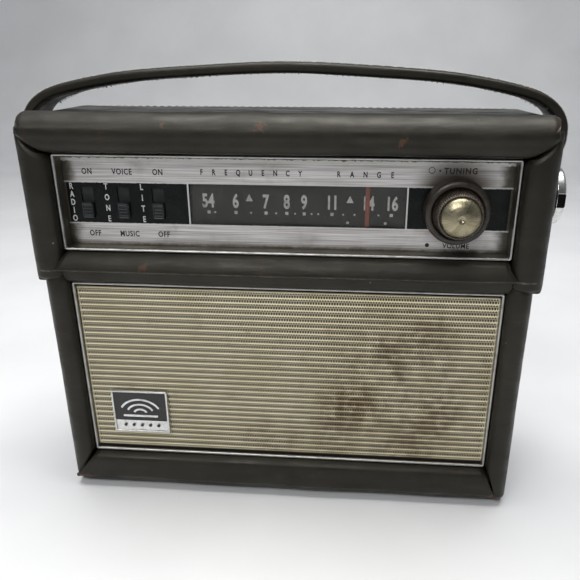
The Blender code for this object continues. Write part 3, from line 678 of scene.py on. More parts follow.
def build_rails(look):
    """Four rolls round the dial panel and three round the grille."""
    dial_edge = DIAL_HIGH.x
    grille_edge = GRILLE_HIGH.x

    def corner(s, y):
        """How far the top roll reaches past the trim."""
        reach = HOOD_REACH * min(max(s, 0.0) / SEAM_HEIGHT, 1.0) ** (1 / SEAM_BEND)
        return reach - 0.5 - 0.6 * step_up(s, 4.0, SEAM_HEIGHT) - nose(s, y, SEAM_HEIGHT)

    rail("hood_top_roll", (0, 0, DIAL_HIGH.z), (1, 0, 0), (0, 0, 1), TOP_SECTION,
         lambda s, y: -dial_edge - corner(s, y), lambda s, y: dial_edge + corner(s, y), look,
         "hood_rail_top", hood_shape,
         turns_at=SEAM_HEIGHT)

    def low_end(s, y):
        """The free lower end of a hood side roll, round at its outer corner."""
        beyond = min(max(s - (HOOD_REACH - 3.0), 0.0) / 3.0, 1.0)
        return HOOD_EDGE - 2.2 + 3.0 * (1.0 - math.sqrt(1.0 - beyond ** 2))

    for side, label in ((-1, "left"), (1, "right")):
        rail("hood_%s_roll" % label, (side * dial_edge, 0, 0), (0, 0, 1), (side, 0, 0), HOOD_SIDE_SECTION,
             low_end, lambda s,
             y: DIAL_HIGH.z + SEAM_HEIGHT * min(max(s, 0.0) / HOOD_REACH, 1.0) ** SEAM_BEND,
             look, "hood_rail_" + label, hood_shape, dips=(2.0, SEAM_DIP), count=110, seed=5.0 + side)

    def mitre_foot(s, y):
        return GRILLE_LOW.z - MITRE * min(max(s, 0.0) / TUB_REACH, 1.0)

    def tongue_foot(s, y):
        """The right roll laps over the end of the bottom roll, down almost to the floor."""
        inner = min(max(s, 0.0) / TONGUE, 1.0) ** 1.2
        outer = min(max(s - TONGUE, 0.0) / 3.0, 1.0)
        return GRILLE_LOW.z - TONGUE_DROP * inner - 2.6 * math.sin(outer * math.pi / 2)

    for side, label, foot in ((-1, "left", mitre_foot), (1, "right", tongue_foot)):
        rail("case_%s_roll" % label, (side * grille_edge, 0, 0), (0, 0, 1), (side, 0, 0), TUB_SIDE_SECTION,
             foot, lambda s, y: HOOD_EDGE - 0.5, look, "case_rail_" + label, tub_shape,
             dips=(SEAM_DIP, 0.6), count=170, seed=11.0 + side)
    rail("hood_lower_roll", (0, 0, DIAL_LOW.z), (1, 0, 0), (0, 0, -1), LOWER_SECTION,
         lambda s, y: -dial_edge + 0.6 - 0.55 * min(s, 9.5),
         lambda s, y: dial_edge - 0.9 + 0.62 * min(max(s - 2.5, 0.0), 7.0),
         look, "hood_rail_lower", lambda point: point, dips=(0.9, 0.7), seed=21.0, swell=0.7)
    rail("case_bottom_roll", (0, 0, GRILLE_LOW.z), (1, 0, 0), (0, 0, -1), BOTTOM_SECTION,
         lambda s, y: -grille_edge - TUB_REACH * min(max(s, 0.0) / MITRE, 1.0) + nose(s, y, MITRE),
         lambda s,
         y: grille_edge + TONGUE * min(max(s, 0.0) / TONGUE_DROP, 1.0) + 5.5 * step_up(s, 14.0, 20.0)
         - nose(s, y, MITRE), look, "case_rail_bottom", tub_shape, seed=31.0, swell=0.6, turns_at=MITRE)


def wrap(name, side, closed_end, open_end, shape, look, node, seed):
    """The leather over one U-shaped part of the case: a thick sheet that dips into the seam at the rolls."""
    up = closed_end > open_end
    front = TUB_LOW.y
    back = TUB_HIGH.y
    thick = 2.0
    lengths = (abs(closed_end - open_end), 2 * side)
    total = 2 * lengths[0] + lengths[1]
    path = []
    steps = 230
    for step in range(steps + 1):
        run = total * step / steps
        if run <= lengths[0]:
            path.append((side, open_end + (closed_end - open_end) * run / lengths[0], (1, 0)))
        elif run <= lengths[0] + lengths[1]:
            path.append((side - (run - lengths[0]), closed_end, (0, 1 if up else -1)))
        else:
            rest = (total - run) / lengths[0]
            path.append((-side, open_end + (closed_end - open_end) * rest, (-1, 0)))
    depths = [front + (back - front) * (0.5 - 0.5 * math.cos(math.pi * step / 26)) for step in range(27)]
    rings = []
    for x, z, normal in path:
        row = []
        for outer in (True, False):
            for depth in (depths if outer else reversed(depths)):
                edge = (1.5 * math.exp(-((depth - front) / 1.6) ** 2)
                        + 0.9 * math.exp(-((back - depth) / 1.2) ** 2))
                bare = Vector((x, depth, z))
                sink = edge + 0.35 + 0.35 * wobble(bare, 40.0, seed) + 0.10 * wobble(bare, 11.0, seed + 2)
                if not up:
                    sink = edge * (abs(z - closed_end) > 2.0) + 0.12 if normal[1] else sink
                sink = min(max(sink, 0.05), thick - 0.25)
                sink = sink if outer else thick
                point = Vector((x - normal[0] * sink, depth, z - normal[1] * sink))
                row.append(shape(point))
        rings.append(row)
    points, faces = ring_faces(rings)
    return piece(name, points, faces, look, "case", (node,), "leather", smooth=50.0)


def build_wraps(look, thread):
    wrap("hood_cover", HOOD_SIDE, TOP, HOOD_EDGE, hood_shape, look, "hood_wrap", 41.0)
    wrap("tub_cover", TUB_SIDE, 0.0, TUB_HIGH.z, tub_shape, look, "case_wrap", 47.0)
    rows = []
    back = HOOD_HIGH.y - 3.2
    for step in range(-27, 28):
        rows.append(((step * 4.1, back, TOP - 0.25), (1, 0, 0)))
    for side in (-1, 1):
        for step in range(16):
            rows.append(((side * (HOOD_SIDE - 0.25), back, HOOD_EDGE + 4.0 + step * 4.1), (0, 0, 1)))
        for step in range(28):
            rows.append(((side * (TUB_SIDE - 0.25), back, 10.0 + step * 4.1), (0, 0, 1)))
    stitches("case_stitches", rows, thread, "case")


def stitches(name, rows, look, body, length=2.7, radius=0.38):
    """Short rounded threads that lie on a surface, each a little humped."""
    parts = []
    for place, along in rows:
        along = Vector(along)
        tilt = 0.14 * wobble(place, 3.0, 77.0)
        lean = along.cross(Vector((0.3, 1.0, 0.2))).normalized()
        along = (along + lean * tilt).normalized()
        profile = [(0.0, -length / 2)]
        for step in range(1, 6):
            share = step / 6
            profile.append((radius * math.sin(math.pi * share) ** 0.5, length * (share - 0.5)))
        profile.append((0.0, length / 2))
        parts.append(lathe(profile, place, along, 8))
    points, faces = join_parts(parts)
    return piece(name, points, faces, look, body, smooth=60.0)


# ---------------------------------------------------------------- handle

STRAP_KEYS = ((127.4, 155.3), (127.4, 166.0), (127.6, 181.0), (130.0, 191.5), (128.6, 200.8),
              (121.5, 208.3),
              (108.0, 213.4), (80.0, 218.4), (45.0, 221.2), (0.0, 223.1))
STRAP_HALF = 11.0
STRAP_THICK = 5.4
FRAY_START = 207.0


def strap_line(count):
    keys = list(STRAP_KEYS) + [(-x, z) for x, z in reversed(STRAP_KEYS[:-1])]
    return curve_through(keys, count)


def build_handle(look, raw, thread, chrome, dark):
    """The strap: two layers of leather folded and stitched, rounded over its edges, frayed underneath."""
    middle = strap_line(14)
    rings = []
    frames = []
    loop = 40
    for index, point in enumerate(middle):
        tangent = (middle[min(index + 1, len(middle) - 1)] - middle[max(index - 1, 0)]).normalized()
        normal = Vector((-tangent.y, tangent.x))
        width = STRAP_HALF
        if point.y < PIVOT.z:
            width = math.sqrt(max(STRAP_HALF ** 2 - (PIVOT.z - point.y) ** 2, 0.04))
        frames.append((point, tangent, normal, width))
        row = []
        for step in range(loop):
            angle = 2 * math.pi * step / loop
            wide = math.copysign(abs(math.cos(angle)) ** 0.35, math.cos(angle)) * width
            tall = math.copysign(abs(math.sin(angle)) ** 0.55, math.sin(angle)) * STRAP_THICK / 2
            at = Vector((point.x, wide, point.y))
            fuller = 1.0 + 0.06 * wobble(at, 18.0, 60.0)
            groove = 0.22 * math.exp(-((abs(wide) - (width - 2.4)) / 0.5) ** 2) if width > 6 else 0.0
            tall = tall * fuller - math.copysign(groove, tall)
            wide += 0.35 * wobble(at, 12.0, 63.0)
            row.append(Vector((point.x + normal.x * tall, wide, point.y + normal.y * tall)))
        rings.append(row)
    points, faces = ring_faces(rings)
    strap = piece("handle_leather", points, faces, look, "handle", ("handle_strap",), "leather",
                  smooth=70.0)
    for side in (-1, 1):
        hole = loose(*lathe(((0, -14), (4.3, -14), (4.3, 14), (0, 14)), (side * 127.0, 0, PIVOT.z),
                            (1, 0, 0), 48))
        cut(strap, hole)
    frayed_edge(frames, raw)
    rows = []
    for index in range(30, len(frames) - 30, 2):
        point, tangent, normal, width = frames[index]
        outward = normal if normal.dot(point - Vector((0, PIVOT.z))) > 0 else -normal
        for edge in (-1, 1):
            at = point + outward * (STRAP_THICK / 2 - 0.12)
            rows.append(((at.x, edge * (width - 2.4), at.y), (tangent.x, 0, tangent.y)))
    stitches("handle_stitches", rows, thread, "handle", 2.4, 0.32)
    for side, label in ((-1, "left"), (1, "right")):
        stud(side, label, chrome, dark)


def frayed_edge(frames, look):
    """Fine torn fibres that hang from the lower edges of the strap."""
    parts = []
    for index in range(40, len(frames) - 40):
        point, tangent, normal, width = frames[index]
        inward = -normal if normal.dot(point - Vector((0, PIVOT.z))) > 0 else normal
        for edge in (-1, 1):
            for turn in range(3):
                seed = Vector((point.x, edge * 9.0 + turn * 2.3, point.y))
                bushy = wobble(seed, 9.0, 88.0) + 0.25
                if bushy < 0.12 * turn or point.y < FRAY_START:
                    continue
                length = 0.5 + 1.7 * max(bushy, 0.0) * (0.55 + 0.45 * wobble(seed, 0.7, 91.0))
                at = point + inward * (STRAP_THICK / 2 - 0.5) + tangent * 1.6 * wobble(seed, 0.9, 95.0)
                root = Vector((at.x, edge * (width - 0.4 - turn * 0.5), at.y))
                aim = Vector((inward.x, edge * 0.25, inward.y)) + 0.6 * Vector((wobble(seed, 0.8, 97.0),
                                                                                0.5 *
                                                                                wobble(seed, 0.6, 99.0), 0))
                parts.append(lathe(((0, -0.3), (0.16, 0.0), (0.12, length * 0.6), (0, length)), root, aim,
                                   5))
    points, faces = join_parts(parts)
    return piece("handle_fray", points, faces, look, "handle", smooth=60.0)


def stud(side, label, chrome, dark):
    """A large chrome stud with a coin slot, on a stepped washer, through the end of the strap."""
    outer = span("handle_boss_right")[1].x
    inner = outer - 5.2
    foot = HOOD_SIDE + 0.3
    profile = [(0, outer), (9.0, outer), (12.9, outer - 0.2), (13.9, outer - 0.7), (14.2, outer - 1.4),
               (14.2, inner + 0.6), (13.7, inner + 0.1), (4.0, inner), (4.0, foot), (0, foot)]
    profile = softened(profile, 0.5)
    points, faces = lathe([(r, side * d) for r, d in profile], (0, 0, PIVOT.z), (1, 0, 0), 120)
    disc = piece("stud_" + label, points, faces, chrome, "case", ("handle_boss_" + label,), "chrome_trim",
                 smooth=35.0)
    depth = inner + 0.8
    low = (min(side * depth, side * (outer + 3)), -20, PIVOT.z - 3.2)
    high = (max(side * depth, side * (outer + 3)), 20, PIVOT.z + 3.2)
    cut(disc, loose(*slab(low, high, 0.3)))
    # A near-black block fills most of the coin slot: painted shade for the slot's shadowed inside.
    floor = slab((min(side * (depth - 0.15), side * (outer - 0.6)), -13.95, PIVOT.z - 3.1),
                 (max(side * (depth - 0.15), side * (outer - 0.6)), 13.95, PIVOT.z + 3.1), 0.3)
    piece("stud_slot_" + label, *floor, dark, "case", smooth=35.0)


# ---------------------------------------------------------------- front metalwork

def frame_ring(name, low, high, section, look, body, nodes, slot, radius=1.3):
    """A mitred frame with small round corners, swept from a section of (inward, y) pairs."""
    rings = []
    for inward, depth in section:
        ring = []
        for x, z in outline(low.x, high.x, low.z, high.z, radius, inward, 5):
            ring.append(Vector((x, depth, z)))
        rings.append(ring)
    points, faces = ring_faces(rings, caps=False, closed_path=True)
    return piece(name, points, faces, look, body, nodes, slot, smooth=35.0)


def build_trims(chrome, dull):
    front = DIAL_LOW.y
    lip = softened(((0.0, front + 1.6), (0.0, front + 0.1), (0.5, front - 0.15), (1.1, front + 0.1),
                    (1.3, front + 0.7),
                    (1.3, front + 1.6)), 0.25, closed=True)
    frame_ring("dial_trim_bright", DIAL_LOW, DIAL_HIGH, lip, chrome, "case", ("dial_trim",), "chrome_trim")
    # The wall of the dial's well gets a darker metal than the trim: painted shade on the recess wall, with
    # some tarnish.
    wall = ((1.0, front + 1.8), (1.5, front + 1.1), (1.55, PANEL_FACE + 0.1), (1.0, PANEL_FACE + 0.1))
    frame_ring("dial_well_wall", DIAL_LOW, DIAL_HIGH, wall, dull, "case", (), "chrome_trim")
    front = GRILLE_LOW.y
    lip = softened(((0.0, front + 1.6), (0.0, front + 0.1), (0.6, front - 0.1), (1.2, front + 0.2),
                    (1.35, front + 0.8),
                    (1.35, front + 1.6)), 0.25, closed=True)
    frame_ring("grille_trim_bright", GRILLE_LOW, GRILLE_HIGH, lip, chrome, "case", ("grille_trim",),
               "chrome_trim")


def build_grille(look, cloth):
    """A sheet of six-sided cells round staggered holes, pressed into ribs, with dark cloth behind."""
    pitch = 1.3235
    row_step = 1.5875
    low, high = span("grille")
    columns = int((high.x - low.x) / pitch)
    rows = int((high.z - low.z) / row_step) - 1
    point_up = (row_step ** 2 + (pitch / 2) ** 2) / (2 * row_step)
    shoulder = row_step - point_up
    corners = ((pitch / 2, shoulder), (0.0, point_up), (-pitch / 2, shoulder), (-pitch / 2, -shoulder),
               (0.0, -point_up), (pitch / 2, -shoulder))
    hole = 0.6
    gather = 0.17
    left = -(columns - 1) * pitch / 2 - pitch / 4
    floor = (low.z + high.z) / 2 - (rows - 1) * row_step / 2
    rib = 2 * row_step
    points = []
    index_of = {}
    faces = []

    def depth_at(z):
        """The pressed ribs: a rounded crest on every second row."""
        phase = ((z - floor) / rib) % 1.0
        crest = 0.5 + 0.5 * math.cos(2 * math.pi * (phase - 0.25))
        return GRILLE_FACE + 0.75 - 0.75 * crest ** 1.3

    def pressed(x, z, lift=0.0):
        """Rows of holes sit a little closer together across each valley than across each crest."""
        return (x, depth_at(z) + lift, z - gather * math.cos(2 * math.pi * (z - floor) / rib))

    def shared(x, z):
        key = (round(x * 20), round(z * 20))
        if key not in index_of:
            index_of[key] = len(points)
            points.append(pressed(x, z))
        return index_of[key]

    for row in range(rows):
        z = floor + row * row_step
        shift = pitch / 2 if row % 2 else 0.0
        for column in range(columns):
            x = left + column * pitch + shift
            rim = [shared(x + dx, z + dz) for dx, dz in corners]
            inner = []
            for dx, dz in corners:
                scale = hole / math.hypot(dx, dz)
                inner.append(len(points))
                points.append(pressed(x + dx * scale, z + dz * scale, 0.16))
            for step in range(6):
                after = (step + 1) % 6
                faces.append((rim[step], rim[after], inner[after], inner[step]))
    mesh = bpy.data.meshes.new("grille_sheet")
    mesh.from_pydata([(x * MM, y * MM, z * MM) for x, y, z in points], [], faces)
    obj = bpy.data.objects.new("grille_sheet", mesh)
    bpy.context.scene.collection.objects.link(obj)
    dress(obj, look, "case", ("grille",), smooth=0)
    mesh.flip_normals()
    mesh.shade_smooth()
    margin_low = Vector((low.x, 0, floor - point_up))
    margin_high = Vector((high.x, 0, floor + (rows - 1) * row_step + point_up))
    band = ((-0.2, GRILLE_FACE + 0.9), (-0.2, GRILLE_FACE + 0.6), (0.45, GRILLE_FACE + 0.6),
            (0.45, GRILLE_FACE + 0.9))
    frame_ring("grille_border", margin_low, margin_high, band, look, "case", (), "gilt_grille", 0.4)
    back = slab((low.x - 0.3, GRILLE_FACE + 0.96, low.z - 0.8),
                (high.x + 0.3, GRILLE_FACE + 1.35, high.z + 0.8), 0.1)
    piece("grille_cloth", *back, cloth, "case", smooth=35.0)


def build_badge(chrome, enamel, silver):
    """A small framed plate with a plain emblem: three arcs over a bar, and a lower band with five pips."""
    low, high = span("badge_plate")
    body = slab((low.x, low.y - 0.1, low.z), (high.x, high.y, high.z), 0.45, 4)
    piece("badge_body", *body, silver, "case", ("badge_plate",), "chrome_trim", smooth=35.0)
    face = low.y - 0.1
    rim = softened(((0.0, face + 0.2), (0.0, face - 0.25), (0.45, face - 0.4), (0.95, face - 0.25),
                    (0.95, face + 0.2)),
                   0.2, closed=True)
    frame_ring("badge_rim", low, high, rim, chrome, "case", (), "chrome_trim", 1.0)
    split = low.z + 7.4
    field = slab((low.x + 1.1, face - 0.16, split), (high.x - 1.1, face + 0.05, high.z - 1.1), 0.08)
    piece("badge_field", *field, enamel, "case", smooth=35.0)
    centre = (low.x + high.x) / 2
    foot = split + 4.0
    parts = []
    for radius in (3.0, 6.0, 9.0):
        arc = []
        for step in range(33):
            angle = math.pi * (0.14 + 0.72 * step / 32)
            arc.append(Vector((centre + radius * math.cos(angle) * 1.25, foot + radius * math.sin(angle))))
        rings = []
        for index, point in enumerate(arc):
            tangent = (arc[min(index + 1, 32)] - arc[max(index - 1, 0)]).normalized()
            across = Vector((-tangent.y, tangent.x)) * 0.55
            rings.append([Vector((point.x + across.x * a, face - 0.16 - 0.2 * b, point.y + across.y * a))
                          for a, b in ((1, 0), (1, 0.7), (0.6, 1), (-0.6, 1), (-1, 0.7), (-1, 0))])
        parts.append(ring_faces(rings))
    parts.append(slab((centre - 9.5, face - 0.36, foot - 1.6), (centre + 9.5, face - 0.12, foot - 0.4),
                      0.15))
    points, faces = join_parts(parts)
    piece("badge_emblem", points, faces, silver, "case", smooth=35.0)
    pips = []
    for step in range(-2, 3):
        pips.append(lathe(((0, 0.22), (0.7, 0.22), (0.85, 0.1), (0.85, -0.1), (0, -0.1)),
                          (centre + step * 4.6, face, low.z + 4.2), (0, -1, 0), 20))
    points, faces = join_parts(pips)
    piece("badge_pips", points, faces, enamel, "case", smooth=35.0)


# ---------------------------------------------------------------- dial

def build_dial(printed, silver_print, ink, dial_marks, red, button, shutter, glass):
    """Print on the panel, the scale and its numerals, the lens, the pointer and the slide buttons."""
    face = PANEL_FACE - 0.03
    top_row = 176.3
    low_row = 145.9
    for index, (text, x) in enumerate((("ON", -94.4), ("VOICE", -77.2), ("ON", -59.8))):
        lettering(text, 2.75, (x, face, top_row), ink, "case", "label_top_%d" % index, width=0.78,
                  spread=1.15)
    for index, (text, x) in enumerate((("OFF", -94.0), ("MUSIC", -76.5), ("OFF", -59.3))):
        lettering(text, 2.75, (x, face, low_row), ink, "case", "label_low_%d" % index, width=0.78,
                  spread=1.15)
    for text, start, step in (("FREQUENCY", -38.6, 5.85), ("RANGE", 26.2, 6.2)):
        for index, letter in enumerate(text):
            lettering(letter, 2.6, (start + index * step, face, 176.6), ink, "case",
                      "range_%s_%d" % (text.lower(), index), 0.12, width=0.72)
    lettering("TUNING", 2.7, (82.0, face, 178.9), ink, "case", "label_tuning", width=0.9, spread=1.2)
    lettering("VOLUME", 2.4, (82.6, face, 143.4), ink, "case", "label_volume", width=0.85, spread=1.15)
    dots = [lathe(((0, 0.04), (0.5, 0.04), (0.5, 0), (0, 0)), (72.6, PANEL_FACE, 179.0), (0, -1, 0), 16),
            lathe(((0, 0.04), (1.0, 0.04), (1.0, 0), (0, 0)), (69.0, PANEL_FACE, 143.6), (0, -1, 0), 24),
            lathe(((1.25, 0.0), (1.25, 0.04), (1.55, 0.04), (1.55, 0.0)), (68.9, PANEL_FACE, 179.2),
                  (0, -1, 0), 32)]
    piece("panel_dots", *join_parts(dots), ink, "case", smooth=35.0)
    for name, word, x in (("radio", "RADIO", -103.2), ("tone", "TONE", -85.9), ("light", "LITE", -68.4)):
        for index, letter in enumerate(word):
            step = 18.4 / (len(word) - 1) * 0.86
            z = 161.2 + step * ((len(word) - 1) / 2 - index)
            lettering(letter, 2.9, (x, face, z), silver_print, "case", "%s_letter_%d" % (name, index),
                      width=0.72)
    scale = SCALE_FACE - 0.04
    row = 162.4
    for text, x in (("54", -36.8), ("6", -23.4), ("7", -8.7), ("8", 1.4), ("9", 9.8), ("11", 23.2),
                    ("14", 40.3),
                    ("16", 51.5)):
        lettering(text, 6.4, (x, scale, row), dial_marks, "case", "dial_" + text, 0.3, 1.0, width=0.66)
    marks = []
    for x in (-16.7, 31.7):
        marks.append(([Vector((x - 1.7, d, 162.8)) for d in (scale, scale + 0.05)]
                      + [Vector((x + 1.7, d, 162.8)) for d in (scale, scale + 0.05)]
                      + [Vector((x, d, 166.2)) for d in (scale, scale + 0.05)],
                      [(0, 2, 4), (1, 5, 3), (0, 1, 3, 2), (2, 3, 5, 4), (4, 5, 1, 0)]))
    for x in (-36.7, -23.4, -8.7, 1.4, 9.8, 23.2, 40.3, 51.5):
        marks.append(slab((x - 0.75, scale - 0.02, 156.4), (x + 0.75, scale + 0.05, 157.9), 0.05, 1))
    for x in (-33.6, -16.0, -3.8, 5.4, 13.4, 16.6, 28.6, 34.0, 45.4):
        marks.append(slab((x - 0.4, scale - 0.02, 156.7), (x + 0.4, scale + 0.05, 157.5), 0.05, 1))
    for x in (30.8, 48.8):
        marks.append(slab((x - 0.6, scale - 0.02, 152.6), (x + 0.6, scale + 0.05, 153.7), 0.05, 1))
    piece("dial_marks", *join_parts(marks), dial_marks, "case", smooth=35.0)
    paint("dial_scale", printed)
    low, high = span("dial_pointer")
    bar = [slab((40.0 - 1.05, low.y, low.z), (40.0 + 1.05, low.y + 0.6, high.z), 0.15, 2),
           slab((40.0 - 1.05, low.y + 0.3, high.z - 1.0), (40.0 + 1.05, high.y, high.z), 0.15, 2)]
    piece("pointer_blade", *join_parts(bar), red, "pointer", ("dial_pointer",), "pointer_red", smooth=35.0)
    paint("dial_lens", glass)
    for name in ("power", "tone", "light"):
        slide_button(name, button, shutter)


def slide_button(name, button, shutter):
    """A ribbed button with the thin dark strip behind the panel that keeps its slot closed as it moves."""
    low, high = span(name + "_slider")
    parts = [slab((low.x, low.y + 0.4, low.z), (high.x, high.y, high.z), 0.5, 3),
             slab((low.x + 0.3, low.y, high.z - 1.3), (high.x - 0.3, low.y + 1.2, high.z - 0.3), 0.3, 3)]
    for step in range(3):
        z = low.z + 1.3 + step * 1.5
        parts.append(slab((low.x + 0.5, low.y + 0.18, z), (high.x - 0.5, low.y + 1.0, z + 0.6), 0.22, 2))
    piece(name + "_button_cap", *join_parts(parts), button, name + "_button", (name + "_slider",),
          "button_plastic", smooth=35.0)
    behind = PANEL_FACE + 0.87
    parts = [slab((low.x - 1.6, behind, low.z - 7.4), (high.x + 1.6, behind + 0.25, high.z + 8.4), 0.08, 1),
             slab((low.x + 0.2, behind - 0.06, high.z + 2.6), (high.x - 0.2, behind + 0.1, high.z + 3.3),
                  0.02, 1)]
    piece(name + "_shutter", *join_parts(parts), shutter, name + "_button", smooth=35.0)


def paint(node, look):
    """A CAD node keeps its mesh and gets a better material."""
    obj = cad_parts[node]
    for entry in obj.material_slots:
        entry.material = look
    if not obj.material_slots:
        obj.data.materials.append(look)


# ---------------------------------------------------------------- knobs

def build_knobs(brown, worn, gilt, dark):
    axis = (SHAFT.x, 0, SHAFT.z)
    front = (0, -1, 0)
    ring = [(3.8, 34.6), (11.5, 34.6), (11.8, 35.9), (12.4, 36.35), (13.5, 36.3), (14.4, 35.8),
            (14.9, 34.9),
            (15.2, 31.0), (15.2, 28.2), (14.7, 27.5), (3.8, 27.5)]
    points, faces = lathe(softened(ring, 0.4, closed=True), axis, front, 160)
    piece("volume_dial", points, faces, brown, "volume", ("volume_ring",), "knob_brown", smooth=35.0)
    teeth = 60
    per = 4
    rings = []
    levels = ((10.4, 35.3), (10.65, 35.6), (10.65, 42.4), (10.4, 43.0), (10.0, 43.35), (9.6, 43.3),
              (9.4, 42.9),
              (9.2, 42.9))
    for level, (radius, along) in enumerate(levels):
        row = []
        for step in range(teeth * per):
            angle = 2 * math.pi * step / (teeth * per)
            ridge = 0.6 * (0.5 + 0.5 * math.cos(angle * teeth)) if 0 < level < 4 else 0.15
            r = radius - 0.6 + ridge
            row.append(Vector((axis[0] + r * math.cos(angle), -along, axis[2] + r * math.sin(angle))))
        rings.append(row)
    points, faces = ring_faces(rings)
    piece("tuning_skirt", points, faces, worn, "tuning", ("tuning_knob",), "knob_brown", smooth=50.0)
    cap = [(0, 47.2), (0.5, 47.25), (1.1, 47.7), (1.9, 47.85), (3.8, 47.6), (5.9, 46.9), (7.5, 45.9),
           (8.6, 44.9),
           (9.05, 43.9), (9.0, 42.95), (0, 42.95)]
    points, faces = lathe(softened(cap, 0.5), axis, front, 120)
    piece("tuning_dome", points, faces, gilt, "tuning", ("tuning_knob_cap",), "knob_gilt", smooth=35.0)
    # The near-black collar where the cap meets the skirt is painted shade for the gap between them.
    collar = [(8.9, 43.15), (9.4, 43.4), (9.55, 43.15), (9.4, 42.7), (8.9, 42.7)]
    points, faces = lathe(collar, axis, front, 96)
    piece("tuning_dome_rim", points, faces, dark, "tuning", smooth=60.0)


def gilt_look():
    """Spun gilt cap: radial scratches fanning from the middle, with dirt."""
    look = Look("spun_gilt")
    shift = look.node("ShaderNodeVectorMath", {0: look.place}, operation="SUBTRACT")
    shift.inputs[1].default_value = Vector((SHAFT.x, 0, SHAFT.z)) * MM
    parts = look.node("ShaderNodeSeparateXYZ", {0: shift.outputs[0]})
    angle = look.math("ARCTAN2", parts.outputs["X"], parts.outputs["Z"])
    fan = look.node("ShaderNodeCombineXYZ", {"X": look.math("MULTIPLY", angle, 0.012), "Y": 0.0,
                                             "Z": look.math("MULTIPLY", parts.outputs["Y"], 0.02)})
    lines = look.noise(0.35, 4.0, 0.7, fan.outputs[0], 1.0)
    color = look.mix(look.fade(lines, 0.35, 0.68), (0.20, 0.17, 0.10), (0.46, 0.42, 0.30))
    dirt = look.noise(4.0, 6.0, 0.75, seed=5.0)
    color = look.mix(look.fade(dirt, 0.5, 0.72, 0.0, 0.7), color, (0.17, 0.135, 0.065))
    rough = look.fade(dirt, 0.35, 0.7, 0.26, 0.5)
    return look.finish(Base_Color=color, Roughness=rough, Metallic=1.0, Normal=look.bump(lines, 0.03))


# ---------------------------------------------------------------- back and inside

def build_back(look, thread, chrome):
    """The padded leather back: a stitched border, a raised middle and two press studs near its top."""
    low, high = span("back_cover")
    levels = ((1.0, low.y), (0.2, low.y + 0.5), (0.0, low.y + 1.2), (0.1, high.y - 1.2),
              (0.7, high.y - 0.4),
              (1.8, high.y - 0.1), (3.2, high.y - 0.35), (4.4, high.y - 0.45), (5.6, high.y - 0.25),
              (8.0, high.y + 0.3),
              (13.0, high.y + 0.8), (22.0, high.y + 1.1), (45.0, high.y + 1.3), (90.0, high.y + 1.3))
    rings = []
    for inset, depth in levels:
        ring = []
        for x, z in outline(low.x, high.x, low.z, high.z, 7.0, inset, 8):
            rough = 0.25 * wobble((x, depth, z), 30.0, 71.0) if depth > high.y - 1.0 else 0.0
            ring.append(Vector((x, depth + rough, z)))
        rings.append(ring)
    points, faces = ring_faces(rings)
    cover = piece("back_leather", points, faces, look, "cover", ("back_cover",), "leather", smooth=60.0)
    rows = []
    path = outline(low.x, high.x, low.z, high.z, 7.0, 3.8, 8)
    path.append(path[0])
    spare = 0.0
    for (x0, z0), (x1, z1) in zip(path, path[1:]):
        start = Vector((x0, z0))
        along = Vector((x1, z1)) - start
        while spare < along.length:
            at = start + along.normalized() * spare
            rows.append(((at.x, high.y - 0.4, at.y), (along.x, 0, along.y)))
            spare += 4.1
        spare -= along.length
    stitches("back_stitches", rows, thread, "cover")
    studs = []
    for side in (-1, 1):
        dome = softened([(0, 2.2), (2.6, 2.1), (4.6, 1.3), (5.2, 0.3), (5.2, -0.6), (0, -0.6)], 0.5)
        studs.append(lathe(dome, (side * 84.0, high.y, high.z - 12.0), (0, 1, 0), 40))
    piece("back_studs", *join_parts(studs), chrome, "cover", smooth=35.0)
    paint("back_hinge", look)


def tube(path, radius, sides=10):
    """A round wire along a smooth path."""
    middle = curve_through(path, 8)
    rings = []
    for index, point in enumerate(middle):
        tangent = (middle[min(index + 1, len(middle) - 1)] - middle[max(index - 1, 0)]).normalized()
        side = tangent.cross(Vector((0.31, 0.87, 0.38))).normalized()
        up = tangent.cross(side)
        rings.append([point + (side * math.cos(turn) + up * math.sin(turn)) * radius
                      for turn in (2 * math.pi * step / sides for step in range(sides))])
    return ring_faces(rings)


